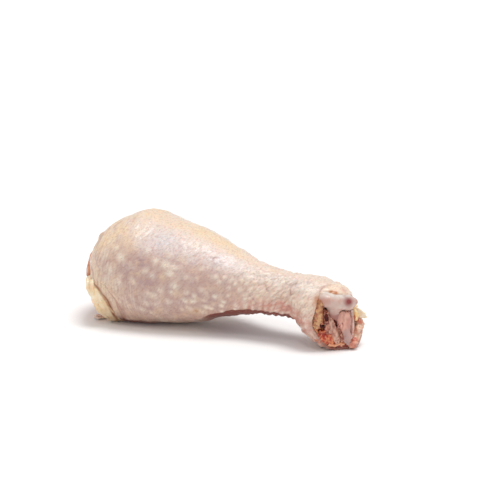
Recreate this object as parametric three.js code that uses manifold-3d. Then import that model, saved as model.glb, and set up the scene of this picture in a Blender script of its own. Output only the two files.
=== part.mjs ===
// Raw chicken drumstick lying on its side.
// A sleeve of skin is drawn over the leg meat, the shin bone runs through it from the knee joint to the hock joint,
// and the cut tendons, fat and folds of skin stand in the open end round the hock.
// Millimetres. +X runs from the knee to the hock, -Y is the near side, +Z is up and the floor is Z = 0.
import * as THREE from "three";
import Module from "manifold-3d";

const wasm = await Module();
wasm.setup();

// ---------- driving dimensions ----------

const GAP = 0.3; // clearance between neighbouring pieces
const SKIN = 1.2; // thickness of the skin
const SETTLE = 0.8; // half height over which the underside flattens on the floor

// The leg's outline along X: height of the back, height of the underside (below zero where it is pressed flat) and half width.
const LEG = [
  { at: -47, top: 42.8, under: -3.6, half: 25.4 },
  { at: -38, top: 46.2, under: -2.5, half: 26.8 },
  { at: -27, top: 44.4, under: -1.1, half: 25.0 },
  { at: -12, top: 41.2, under: 2.0, half: 21.3 },
  { at: 4, top: 35.4, under: 5.4, half: 15.8 },
  { at: 19, top: 30.0, under: 9.2, half: 10.5 },
  { at: 30, top: 28.4, under: 9.7, half: 9.0 },
  { at: 37, top: 28.3, under: 8.8, half: 9.1 },
  { at: 44, top: 28.4, under: 2.8, half: 11.7 },
  { at: 53, top: 26.5, under: -0.6, half: 12.0 },
  { at: 62, top: 26.1, under: -0.4, half: 11.4 },
];
const START = LEG[0].at;
const KNEE = { reach: 15.75, fullness: 1.52, arc: 24 }; // the rounded end past the first station, over an arc of skin
// The cut flesh at the knee: how far it swells past the line of the skin, how deep it sits under the lip, and how far
// past the skin's edge the swell begins and how long it takes to rise.
const FLESH = { bulge: 1.1, seat: 3.4, from: 0.9, over: 2.4 };
const RECESS = 2.6; // depth of the tissue floor behind the hock rim
const DROOP = { length: 6, depth: 2.0 }; // the skin's end hangs over the joint along the top of the hock rim
const STRAIGHT = { from: 12, to: 88 }; // runs between which the rings of the skin stand straight across the leg
const LIP = { past: 3.5, thick: 2.6, inset: 0.1 }; // the turned-out lip: distance past the rim, half width and depth

// The shin bone from its knee head to the hock: centre and half sizes of its section.
const BONE = [
  { at: -63.2, y: 0, z: 20.4, across: 5.2, tall: 4.2 },
  { at: -61.2, y: 0, z: 20.4, across: 8.6, tall: 6.6 },
  { at: -57, y: 0, z: 20.4, across: 9.6, tall: 7.6 },
  { at: -51, y: 0, z: 20.6, across: 8.2, tall: 7.0 },
  { at: -42, y: 0, z: 21.0, across: 5.2, tall: 5.0 },
  { at: -15, y: 0, z: 21.6, across: 3.9, tall: 3.8 },
  { at: 20, y: 0, z: 21.0, across: 3.6, tall: 3.6 },
  { at: 40, y: -0.4, z: 20.4, across: 4.2, tall: 3.9 },
  { at: 50, y: -1.0, z: 20.4, across: 5.0, tall: 4.0 },
  { at: 55, y: -1.4, z: 20.4, across: 3.4, tall: 3.2 },
];
// The joint at the hock: its centre, the turn of its axle away from Y and the dip of the far end, in degrees.
const HOCK = { at: [55.2, -1.5, 19.9], turn: 37, dip: 10 };
const NEAR_CONDYLE = { out: -3.4, along: 4.9, deep: 4.3, tall: 4.5 };
const FAR_CONDYLE = { out: 3.6, along: 4.6, deep: 4.1, tall: 4.2 };
const SADDLE = { out: 0, along: 6.2, deep: 4.0, tall: 4.3 };

// ---------- small helpers ----------

const radians = THREE.MathUtils.degToRad;
const degrees = (turn) => (THREE.MathUtils.radToDeg(turn) + 360) % 360;
const bump = (value, centre, width) =>
  Math.exp(-(((value - centre) / width) ** 2));
const clamp = THREE.MathUtils.clamp;
const lerp = THREE.MathUtils.lerp;
const ease = (t) => THREE.MathUtils.smoothstep(t, 0, 1);
const vec = (x, y, z) => new THREE.Vector3(x, y, z);
const wave = (value, power) => Math.sign(value) * Math.abs(value) ** power;
const range = (count, make) => Array.from({ length: count }, (_, i) => make(i));

// A smooth curve through the rows of a table, read at x for one of its columns.
function along(table, key, x) {
  const last = table.length - 1;
  const slope = (i) =>
    (table[i + 1][key] - table[i][key]) / (table[i + 1].at - table[i].at);
  const step = (i) => table[i + 1].at - table[i].at;
  const tangent = (i) =>
    i === 0
      ? slope(0)
      : i === last
        ? slope(last - 1)
        : (slope(i - 1) * step(i) + slope(i) * step(i - 1)) /
          (step(i) + step(i - 1));
  let i = 0;
  while (i < last - 1 && x >= table[i + 1].at) i++;
  const h = step(i),
    t = clamp((x - table[i].at) / h, 0, 1);
  return (
    (2 * t ** 3 - 3 * t ** 2 + 1) * table[i][key] +
    (t ** 3 - 2 * t ** 2 + t) * h * tangent(i) +
    (3 * t ** 2 - 2 * t ** 3) * table[i + 1][key] +
    (t ** 3 - t ** 2) * h * tangent(i + 1)
  );
}

// Height above the floor after the soft underside has settled on it.
const settle = (z) =>
  z > SETTLE ? z : z < -SETTLE ? 0 : (z + SETTLE) ** 2 / (4 * SETTLE);

// Point of the leg's surface: run is the length from the first station (negative on the rounded knee end), turn the angle
// from the far side over the back, inset the depth below the skin.
function leg(run, turn, inset = 0) {
  const bend = (clamp(-run / KNEE.arc, 0, 1) * Math.PI) / 2;
  const power = 2 / KNEE.fullness;
  const x =
    run < 0
      ? START - (KNEE.reach - inset) * Math.sin(bend) ** power
      : START + run;
  const shrink = run < 0 ? Math.max(Math.cos(bend), 0) ** power : 1;
  const station = Math.max(x, START);
  const top = along(LEG, "top", station),
    under = along(LEG, "under", station);
  const half = (along(LEG, "half", station) - inset) * shrink;
  const tall = ((top - under) / 2 - inset) * shrink;
  const z = (top + under) / 2 + tall * Math.sin(turn);
  const floor = Math.max(inset, 0);
  return vec(x, half * Math.cos(turn), floor + settle(z - floor));
}

// The skin's edge at the knee, as a run: cut back where the lip of fat turns out on the near side, and slightly lobed.
function kneeRim(turn) {
  const a = degrees(turn);
  const near = 6.5 * ease((a - 138) / 26) + 10.5 * ease((a - 176) / 26);
  const back = 17 * ease((a - 250) / 56);
  const lobes = 0.5 * Math.sin(5 * turn) + 0.3 * Math.sin(11 * turn + 1);
  return -12 + near - back + lobes;
}

// Share of the knee rim under the lip: 1 along it, 0 away from it.
const underLip = (turn) =>
  ease((degrees(turn) - 180) / 12) * (1 - ease((degrees(turn) - 258) / 16));

// The skin's edge at the hock, as a run: cut back on the near side, longest on the top and where the far side meets the floor.
const hockRim = (turn) =>
  54.4 -
  START +
  5 * Math.cos(turn) -
  1.5 * Math.sin(turn) -
  1.3 * Math.cos(2 * turn) -
  0.8 * Math.sin(2 * turn) +
  2.6 * bump(degrees(turn), 82, 26) +
  2.2 * bump(degrees(turn), 290, 22) +
  0.3 * Math.sin(7 * turn);

// Point of the skin's own surface: the leg's, hanging down towards the hock rim along its top.
function skinPoint(run, turn, inset = 0) {
  const past = clamp(1 - (hockRim(turn) - run) / DROOP.length, 0, 1.2);
  const sag = DROOP.depth * past ** 2 * bump(degrees(turn), 84, 44);
  return leg(run, turn, inset + sag);
}

// ---------- meshes ----------

// A solid from rings of points: closed on itself end to end, or capped with a point at the middle of each end ring.
function solid(rings, { looped = false } = {}) {
  const n = rings[0].length,
    points = rings.flat(),
    faces = [];
  const bands = looped ? rings.length : rings.length - 1;
  for (let r = 0; r < bands; r++)
    for (let i = 0; i < n; i++) {
      const a = r * n + i,
        b = r * n + ((i + 1) % n);
      const c = ((r + 1) % rings.length) * n + i,
        d = ((r + 1) % rings.length) * n + ((i + 1) % n);
      faces.push([a, b, d], [a, d, c]);
    }
  if (!looped)
    for (const [ring, at, flip] of [
      [rings[0], 0, true],
      [rings.at(-1), (rings.length - 1) * n, false],
    ]) {
      const hub = points.length;
      points.push(
        ring.reduce((sum, p) => sum.add(p), vec(0, 0, 0)).divideScalar(n),
      );
      for (let i = 0; i < n; i++) {
        const a = at + i,
          b = at + ((i + 1) % n);
        faces.push(flip ? [hub, b, a] : [hub, a, b]);
      }
    }
  const volume = faces.reduce(
    (sum, [a, b, c]) =>
      sum + points[a].dot(vec(0, 0, 0).crossVectors(points[b], points[c])),
    0,
  );
  if (volume < 0) faces.forEach((f) => f.reverse());
  return new wasm.Manifold(
    new wasm.Mesh({
      numProp: 3,
      vertProperties: Float32Array.from(points.flatMap((p) => p.toArray())),
      triVerts: Uint32Array.from(faces.flat()),
    }),
  );
}

const turns = (count) => range(count, (i) => (i / count) * 2 * Math.PI);

// Run of a ring at share s of the way from one edge to another, standing straight across the leg in between.
function ringRun(s, open, end) {
  const first = 0.2,
    last = 0.84;
  if (s < first) return lerp(open, STRAIGHT.from, s / first);
  if (s > last) return lerp(STRAIGHT.to, end, (s - last) / (1 - last));
  return lerp(STRAIGHT.from, STRAIGHT.to, (s - first) / (last - first));
}

// The skin sleeve, swollen by a clearance when it is used to cut its neighbours.
function sleeve(swell = 0, around = 42, outerRings = 40, innerRings = 17) {
  const edge = 0.45 + swell;
  const ring = (s, inset, past) =>
    turns(around).map((t) =>
      skinPoint(ringRun(s, kneeRim(t), hockRim(t)) + past, t, inset),
    );
  const outer = range(outerRings + 1, (i) => ring(i / outerRings, -swell, 0));
  const inner = range(innerRings + 1, (i) =>
    ring((1 - i / innerRings) ** 1.25, SKIN + swell, 0),
  );
  return solid(
    [...outer, ring(1, SKIN / 2, edge), ...inner, ring(0, SKIN / 2, -edge)],
    { looped: true },
  );
}

// The leg meat before it is cut: it keeps clear of the skin, swells out past the knee rim and sinks under the lip.
function flesh(around = 28, rings = 27) {
  const past = 0.25; // share of the rings on the open end
  return solid(
    range(rings + 1, (i) =>
      turns(around).map((t) => {
        const s = i / rings,
          open = kneeRim(t);
        const run =
          s < past
            ? lerp(1.2 - KNEE.arc, open, s / past)
            : ringRun((s - past) / (1 - past), open, hockRim(t) - RECESS);
        const bare = lerp(-FLESH.bulge, FLESH.seat, underLip(t));
        const out = ease((open - FLESH.from - run) / FLESH.over);
        return leg(run, t, lerp(SKIN + 2 * GAP, bare, out));
      }),
    ),
  );
}

// A strand through rows of [x, y, z, half width, half height]; side is the direction of its width.
function strand(rows, side, swell = 0, { around = 10, steps = 10 } = {}) {
  const curve = new THREE.CatmullRomCurve3(
    rows.map(([x, y, z]) => vec(x, y, z)),
  );
  const long = curve.getLength();
  const size = (column, u) => {
    const x = u * (rows.length - 1),
      i = Math.min(Math.floor(x), rows.length - 2);
    return lerp(rows[i][column], rows[i + 1][column], ease(x - i));
  };
  return solid(
    range(steps + 1, (i) => {
      const u = (1 + Math.sin(lerp(-0.5, 0.5, i / steps) * Math.PI)) / 2; // closer rings at both ends
      const ahead = curve.getTangent(u);
      const across = vec(...side);
      across.addScaledVector(ahead, -across.dot(ahead)).normalize();
      const up = vec(0, 0, 0).crossVectors(ahead, across);
      const depth = Math.min(1, (Math.min(u, 1 - u) * long) / size(4, u) + 0.12);
      const round = Math.sqrt(1 - (1 - depth) ** 2); // rounded ends
      const middle = curve
        .getPoint(u)
        .addScaledVector(ahead, i === 0 ? -swell : i === steps ? swell : 0);
      return turns(around).map((t) =>
        middle
          .clone()
          .addScaledVector(across, Math.cos(t) * (size(3, u) * round + swell))
          .addScaledVector(up, Math.sin(t) * (size(4, u) * round + swell)),
      );
    }),
  );
}

// An egg whose axle lies level, turned away from Y, and dips at its far end; it stands out along the axle from its centre.
function egg(
  { at, turn, dip = 0 },
  { out = 0, along, deep, tall, power = 1 },
  swell = 0,
  { rings = 8, around = 16 } = {},
) {
  const level = vec(Math.sin(radians(turn)), Math.cos(radians(turn)), 0);
  const ahead = vec(Math.cos(radians(turn)), -Math.sin(radians(turn)), 0);
  const axle = level
    .multiplyScalar(Math.cos(radians(dip)))
    .add(vec(0, 0, -Math.sin(radians(dip))));
  const up = vec(0, 0, 0).crossVectors(ahead, axle);
  const middle = vec(...at).addScaledVector(axle, out);
  return solid(
    range(rings + 1, (i) => {
      const lat = (lerp(-0.95, 0.95, i / rings) * Math.PI) / 2;
      const wide = Math.cos(lat) ** (1 / power);
      return turns(around).map((t) =>
        middle
          .clone()
          .addScaledVector(
            axle,
            wave(Math.sin(lat), 1 / power) * (along + swell),
          )
          .addScaledVector(ahead, wide * Math.cos(t) * (deep + swell))
          .addScaledVector(up, wide * Math.sin(t) * (tall + swell)),
      );
    }),
  );
}

// The shin bone: knee head, shaft and the two condyles with the saddle between them.
function shinBone(swell = 0, rings = 24, around = 18) {
  const from = BONE[0].at,
    to = BONE.at(-1).at;
  const shaft = solid(
    range(rings + 1, (i) => {
      const x = lerp(from, to, (i / rings) ** 1.3);
      const read = (key) => along(BONE, key, x);
      return turns(around).map((t) =>
        vec(
          i ? x : x - swell,
          read("y") + (read("across") + swell) * Math.cos(t),
          read("z") + (read("tall") + swell) * Math.sin(t),
        ),
      );
    }),
  );
  return wasm.Manifold.union([
    shaft,
    ...[NEAR_CONDYLE, FAR_CONDYLE, SADDLE].map((size) =>
      egg(HOCK, { ...size, power: 1.25 }, swell),
    ),
  ]);
}

// The lip of skin and fat turned out along the near part of the knee rim.
function kneeLip(swell = 0) {
  const rows = range(9, (i) => {
    const t = radians(lerp(182, 262, i / 8));
    const thick = LIP.thick * Math.sin(Math.PI * lerp(0.2, 0.88, i / 8)) ** 0.6;
    const p = leg(kneeRim(t) - LIP.past, t, LIP.inset);
    return [p.x, p.y, Math.max(p.z, thick + 0.1), thick, thick];
  });
  return strand(rows, [-1, 0, 0.4], swell, { around: 12, steps: 15 });
}

// ---------- pieces in the hock opening ----------

const CUT_ENDS = {
  tendon_front: {
    side: [0.8, 0.6, 0],
    color: 0xc8988c,
    rows: [
      [57.0, -1.8, 16.0, 2.4, 1.3],
      [57.9, -1.6, 11.9, 2.6, 1.6],
      [58.8, -1.2, 8.1, 1.9, 1.5],
      [59.4, -0.7, 5.1, 1.5, 1.4],
      [59.2, -0.4, 2.6, 1.3, 1.2],
    ],
  },
  tendon_near: {
    side: [0.8, 0.6, 0],
    color: 0xb99184,
    rows: [
      [51.4, -5.0, 16.8, 1.4, 1.2],
      [53.0, -5.4, 13.8, 1.6, 1.4],
      [55.1, -4.6, 8.2, 1.8, 1.5],
      [56.7, -3.2, 3.0, 1.4, 1.2],
    ],
  },
  fat_near: {
    side: [0.3, 0.95, 0],
    color: 0xc9a070,
    rows: [
      [50.1, -8.4, 19.6, 1.1, 1.3],
      [50.3, -9.2, 16.1, 1.4, 1.7],
      [50.1, -9.3, 12.3, 1.4, 1.8],
      [49.6, -8.8, 9.1, 1.3, 1.5],
    ],
  },
  tissue_red: {
    side: [0.3, 0.5, 0.8],
    color: 0xb0503f,
    rows: [
      [49.4, -8.4, 7.6, 1.8, 1.4],
      [51.1, -7.2, 6.2, 2.6, 1.9],
      [53.2, -5.4, 5.0, 2.0, 1.6],
      [54.4, -4.0, 4.0, 1.4, 1.2],
    ],
  },
  fat_low: {
    side: [0.4, 0.9, 0],
    color: 0xc58a5f,
    rows: [
      [51.0, -6.4, 3.4, 1.1, 0.8],
      [53.3, -4.2, 2.6, 1.5, 1.0],
      [56.4, -1.4, 2.3, 1.3, 0.9],
      [58.2, 0.8, 2.2, 0.9, 0.6],
    ],
  },
  membrane: {
    side: [0.5, 0.86, 0],
    color: 0xd9b3a2,
    rows: [
      [57.6, 3.6, 16.4, 0.5, 1.4],
      [57.9, 3.6, 9.6, 0.6, 2.0],
      [58.2, 2.6, 4.0, 0.6, 1.6],
    ],
  },
  fold_far: {
    side: [0.9, 0.4, 0],
    color: 0xcda596,
    rows: [
      [58.4, 7.8, 11.6, 1.7, 1.7],
      [59.6, 7.7, 8.6, 2.3, 2.0],
      [60.0, 6.0, 5.4, 2.3, 2.0],
      [60.2, 4.0, 3.4, 2.1, 1.7],
      [60.4, 2.4, 2.4, 1.6, 1.2],
    ],
  },
  fat_far: {
    side: [0.86, 0.5, 0],
    color: 0xdcb680,
    rows: [
      [57.6, 6.0, 16.8, 1.3, 1.4],
      [58.3, 6.4, 14.0, 1.7, 1.7],
      [58.8, 6.2, 11.4, 1.4, 1.3],
    ],
  },
  tag: {
    side: [0.5, 0, 0.85],
    color: 0xe6cda4,
    rows: [
      [57.6, 8.6, 15.4, 0.8, 0.5],
      [60.2, 8.7, 13.4, 1.3, 0.5],
      [62.9, 8.6, 11.8, 0.5, 0.4],
    ],
  },
};

// A scrap of flesh squeezed out under the lip, lying on the floor.
const SCRAP = { at: [-53.4, -14.4, 1.0], turn: 24, dip: 6 };
const SCRAP_SIZE = { along: 2.5, deep: 2.2, tall: 0.9 };

const largest = (body) =>
  body
    .decompose()
    .reduce((best, b) => (b.volume() > best.volume() ? b : best));

const cutBy = (body, cutters) =>
  largest(cutters.reduce((left, c) => left.subtract(c), body));

// Builds every piece, each one cut back from the pieces that come before it.
function pieces() {
  const made = { skin: { body: sleeve(), color: 0xe3c6b4 } };
  const taken = [sleeve(GAP)];
  const add = (name, color, make) => {
    made[name] = { body: cutBy(make(0), taken), color };
    taken.push(make(GAP));
  };
  add("bone", 0xd8cfcc, shinBone);
  add("knee_lip", 0xe2c8a2, kneeLip);
  for (const [name, { rows, side, color }] of Object.entries(CUT_ENDS))
    add(name, color, (swell) => strand(rows, side, swell));
  add("scrap", 0xa88a7a, (swell) =>
    egg(SCRAP, SCRAP_SIZE, swell, { rings: 7, around: 12 }),
  );
  taken[1] = shinBone(2.5 * GAP, 20, 16); // the bore in the meat is plainer and wider than the bone
  made.meat = { body: cutBy(flesh(), taken), color: 0xb4685a };
  return made;
}

const group = new THREE.Group();
for (const [name, { body, color }] of Object.entries(pieces())) {
  const { vertProperties, triVerts, numProp } = body.getMesh();
  const count = vertProperties.length / numProp;
  const positions = new Float32Array(count * 3);
  for (let i = 0; i < count; i++)
    positions.set(vertProperties.subarray(i * numProp, i * numProp + 3), i * 3);
  const geometry = new THREE.BufferGeometry()
    .setAttribute("position", new THREE.BufferAttribute(positions, 3))
    .setIndex(new THREE.BufferAttribute(triVerts, 1));
  geometry.computeVertexNormals();
  const mesh = new THREE.Mesh(
    geometry,
    new THREE.MeshStandardMaterial({ color, roughness: 0.5 }),
  );
  mesh.name = name;
  group.add(mesh);
}

export default group;
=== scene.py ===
"""A raw chicken drumstick lying on its side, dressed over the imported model.

Sizes are in millimetres in the part's own frame until a mesh is made. +X runs from the knee to the hock, -Y
is the near side, +Z is up and the floor is Z = 0. A turn goes round the leg from the far side (0) over the
top (90 degrees) and the near side (180) to the underside (270). A run is the length along the leg from its
first station, negative on the rounded knee end.
"""
import logging
import math
from dataclasses import dataclass, field
from enum import Enum
from itertools import product
from typing import Any

import bpy
import numpy as np
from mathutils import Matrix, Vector


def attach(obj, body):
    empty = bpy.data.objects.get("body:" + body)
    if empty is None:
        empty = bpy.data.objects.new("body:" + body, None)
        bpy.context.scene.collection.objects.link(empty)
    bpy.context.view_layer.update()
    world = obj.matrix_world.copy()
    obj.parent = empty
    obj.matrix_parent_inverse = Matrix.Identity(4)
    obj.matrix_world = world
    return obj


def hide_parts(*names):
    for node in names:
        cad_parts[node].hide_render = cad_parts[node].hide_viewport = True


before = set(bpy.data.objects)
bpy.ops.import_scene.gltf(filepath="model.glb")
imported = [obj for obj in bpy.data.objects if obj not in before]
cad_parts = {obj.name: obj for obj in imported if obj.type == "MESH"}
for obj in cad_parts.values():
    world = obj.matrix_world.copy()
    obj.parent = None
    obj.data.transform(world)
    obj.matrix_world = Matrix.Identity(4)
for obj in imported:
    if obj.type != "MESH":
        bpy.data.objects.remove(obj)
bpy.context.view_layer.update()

Array = np.ndarray
Colour = tuple[float, float, float, float]
Triple = tuple[float, float, float]
Row = tuple[float, ...]
Rows = tuple[Row, ...]
Piece = bpy.types.Object
Socket = bpy.types.NodeSocket
MM = 0.001
LOG = logging.getLogger("drumstick")


class Slot(Enum):
    """The record's material slots."""

    SKIN = "skin"
    FLESH = "flesh"
    CARTILAGE = "cartilage"
    LIP_FAT = "lip_fat"
    TENDON = "tendon"
    FAT = "fat"
    RED_TISSUE = "red_tissue"
    MEMBRANE = "membrane"
    SKIN_FOLD = "skin_fold"
    SKIN_TAG = "skin_tag"
    SCRAP = "scrap"


# ---------- small helpers ----------


def linear(hex_colour: str) -> Colour:
    """Turns an sRGB colour into the linear values that the shaders take.

    Args:
        hex_colour: the colour as rrggbb.

    Returns:
        Red, green, blue and an alpha of 1, from 0 to 1.
    """
    parts = [int(hex_colour[i : i + 2], 16) / 255 for i in (0, 2, 4)]
    red, green, blue = (c / 12.92 if c <= 0.04045 else ((c + 0.055) / 1.055) ** 2.4 for c in parts)
    return red, green, blue, 1.0


def ease(value: Array | float) -> Array:
    """A smooth step from 0 to 1 as value goes from 0 to 1."""
    t = np.clip(value, 0.0, 1.0)
    return t * t * (3 - 2 * t)


def rise(value: Array | float, start: float, length: float) -> Array:
    """A smooth step from 0 at start to 1 a length further on, or further back where length is negative."""
    return ease((value - start) / length)


def bump(value: Array, centre: float, width: float) -> Array:
    """A bell of height 1 at centre that falls to a third at width."""
    return np.exp(-(((value - centre) / width) ** 2))


def mix(low: Array | float, high: Array | float, share: Array | float) -> Array:
    """The value at that share of the way from low to high."""
    return low + (high - low) * share


def turns(count: int) -> Array:
    """Angles of count points evenly round a ring."""
    return np.linspace(0, 2 * np.pi, count, endpoint=False)


def unit(vectors: Array) -> Array:
    """The vectors at length 1."""
    return vectors / np.maximum(np.linalg.norm(vectors, axis=-1, keepdims=True), 1e-9)


def distance(places: Array, point: Array | Triple) -> Array:
    """How far each place is from a point."""
    return np.linalg.norm(places - point, axis=1)


def rows_along(middle: Array, half: Array) -> Rows:
    """Rows of a strand that is as tall as it is wide, from its middle line and its half width."""
    return tuple(map(tuple, np.column_stack([middle, half, half])))


def through(at: Array, values: Array, x: Array) -> Array:
    """Reads a smooth curve through a few stations.

    Args:
        at: places of the stations, rising.
        values: the curve's value at each station.
        x: where to read it.

    Returns:
        The curve's value at each x, held at the ends.
    """
    at, values = np.asarray(at, float), np.asarray(values, float)
    step = np.diff(at)
    slope = np.diff(values) / step
    inner = (slope[:-1] * step[1:] + slope[1:] * step[:-1]) / (step[1:] + step[:-1])
    tangent = np.concatenate([slope[:1], inner, slope[-1:]])
    i = np.clip(np.searchsorted(at, x, side="right") - 1, 0, len(step) - 1)
    h = step[i]
    t = np.clip((x - at[i]) / h, 0, 1)
    return (
        (2 * t**3 - 3 * t**2 + 1) * values[i]
        + (t**3 - 2 * t**2 + t) * h * tangent[i]
        + (3 * t**2 - 2 * t**3) * values[i + 1]
        + (t**3 - t**2) * h * tangent[i + 1]
    )


class Grain:
    """Smooth noise over space from a seeded lattice, the same on every run."""

    CELLS = 32
    LAYER_OFFSET = 37.3

    def __init__(self, seed: int) -> None:
        """Fills the lattice from the seed."""
        self.values = np.random.default_rng(seed).uniform(-1, 1, (self.CELLS,) * 3)

    def read(self, places: Array, size: float | Triple) -> Array:
        """Reads the noise.

        Args:
            places: points in millimetres, with x, y and z on the last axis.
            size: width of a feature in millimetres, one for all axes or one for each.

        Returns:
            A value from -1 to 1 for each point.
        """
        scaled = places / np.asarray(size, float)
        low = np.floor(scaled).astype(int)
        part = ease(scaled - low)
        total = np.zeros(places.shape[:-1])
        for corner in np.ndindex(2, 2, 2):
            index = (low + corner) % self.CELLS
            weight = np.prod(np.where(np.array(corner) == 1, part, 1 - part), axis=-1)
            total += weight * self.values[index[..., 0], index[..., 1], index[..., 2]]
        return total

    def layered(self, places: Array, size: float, layers: int = 3) -> Array:
        """Noise with finer and fainter noise on it."""
        return sum(self.read(places + self.LAYER_OFFSET * k, size / 2**k) / 2**k for k in range(layers))


# ---------- meshes ----------


def shell(rings: Array, looped: bool = False) -> tuple[Array, list[list[int]]]:
    """Skins over rings of points.

    Args:
        rings: points in millimetres as (ring, point on the ring, xyz).
        looped: whether the last ring joins the first; otherwise each end is closed round a hub.

    Returns:
        The vertices and the faces, which face outwards.
    """
    count, around = rings.shape[:2]
    index = np.arange(count * around).reshape(count, around)
    here = index if looped else index[:-1]
    ahead = np.roll(index, -1, 0) if looped else index[1:]
    quads = np.stack([here, np.roll(here, -1, 1), np.roll(ahead, -1, 1), ahead], -1)
    points, faces = rings.reshape(-1, 3), quads.reshape(-1, 4).tolist()
    if not looped:
        for ring, first in ((0, True), (-1, False)):
            hub = len(points)
            points = np.vstack([points, rings[ring].mean(0)])
            pairs = zip(index[ring].tolist(), np.roll(index[ring], -1).tolist())
            faces += [[hub, b, a] if first else [hub, a, b] for a, b in pairs]
    triangles = points[np.array([f[:3] for f in faces])]
    crossed = np.cross(triangles[:, 1], triangles[:, 2])
    if (triangles[:, 0] * crossed).sum() < 0:
        faces = [f[::-1] for f in faces]
    return points, faces


def link_piece(name: str, mesh: bpy.types.Mesh) -> Piece:
    """Shades a mesh smooth and puts it in the scene as a piece."""
    mesh.shade_smooth()
    piece = bpy.data.objects.new(name, mesh)
    bpy.context.scene.collection.objects.link(piece)
    return piece


def make_piece(name: str, points: Array, faces: list[list[int]]) -> Piece:
    """Makes a piece from points in millimetres and faces."""
    mesh = bpy.data.meshes.new(name)
    mesh.from_pydata((points * MM).tolist(), [], faces)
    return link_piece(name, mesh)


def fuse(name: str, shells: list[Array], voxel: float, rounds: int) -> Piece:
    """Grows several closed shells together into one skin.

    Args:
        name: the piece's name.
        shells: rings of points of each shell, in millimetres.
        voxel: size in millimetres of the new faces.
        rounds: how many times the joins are smoothed.

    Returns:
        The fused piece.
    """
    points, faces, count = [], [], 0
    for rings in shells:
        own_points, own_faces = shell(rings)
        points.append(own_points)
        faces += [[i + count for i in face] for face in own_faces]
        count += len(own_points)
    rough = make_piece(name + "_rough", np.vstack(points), faces)
    remesh = rough.modifiers.new("grow_together", "REMESH")
    remesh.mode = "VOXEL"
    remesh.voxel_size = voxel * MM
    smooth = rough.modifiers.new("soften", "SMOOTH")
    smooth.factor = 0.5
    smooth.iterations = rounds
    graph = bpy.context.evaluated_depsgraph_get()
    mesh = bpy.data.meshes.new_from_object(rough.evaluated_get(graph))
    mesh.name = name
    piece = link_piece(name, mesh)
    bpy.data.objects.remove(rough)
    return piece


def points_of(piece: Piece) -> tuple[Array, Array]:
    """The vertices of a piece, in millimetres, and their normals."""
    count = len(piece.data.vertices)
    places, normals = np.empty(count * 3), np.empty(count * 3)
    piece.data.vertices.foreach_get("co", places)
    piece.data.vertex_normals.foreach_get("vector", normals)
    return places.reshape(-1, 3) / MM, normals.reshape(-1, 3)


def put_points(piece: Piece, places: Array) -> None:
    """Moves the vertices of a piece to these places in millimetres."""
    piece.data.vertices.foreach_set("co", (places * MM).ravel())
    piece.data.update()


def raise_surface(piece: Piece, height: Array) -> None:
    """Moves vertices out along their normals by a height in millimetres, and no lower than the floor."""
    places, normals = points_of(piece)
    moved = places + normals * height[:, None]
    moved[:, 2] = np.maximum(moved[:, 2], 0)
    put_points(piece, moved)


def paint(piece: Piece, **shares: Array) -> None:
    """Keeps numbers for each vertex, each under the name that the finishes read it by."""
    for name, values in shares.items():
        layer = piece.data.attributes.new(name, "FLOAT", "POINT")
        layer.data.foreach_set("value", np.asarray(values, np.float32).ravel())


def lay_in(piece: Piece, finish: bpy.types.Material, slot: Slot, *nodes: str) -> None:
    """Dresses a piece and lets it stand for its CAD nodes.

    Args:
        piece: the finished mesh.
        finish: its material.
        slot: not used.
        nodes: the CAD nodes that it replaces, if any.
    """
    piece.data.materials.append(finish)
    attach(piece, "root")
    if nodes:
        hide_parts(*nodes)
    LOG.info("%s: %d faces, %s", piece.name, len(piece.data.polygons), finish.name)


# ---------- finishes ----------


def add_node(
    tree: bpy.types.NodeTree,
    kind: str,
    settings: dict[str, Any] | None = None,
    inputs: dict[str | int, Any] | None = None,
) -> bpy.types.Node:
    """Adds a shader node.

    Args:
        tree: the material's node tree.
        kind: the node's type.
        settings: its properties by name.
        inputs: for each input, a constant, or the output that feeds it.

    Returns:
        The node.
    """
    node = tree.nodes.new(kind)
    for name, value in (settings or {}).items():
        setattr(node, name, value)
    for key, value in (inputs or {}).items():
        if isinstance(value, Socket):
            tree.links.new(value, node.inputs[key])
        else:
            node.inputs[key].default_value = value
    return node


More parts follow.
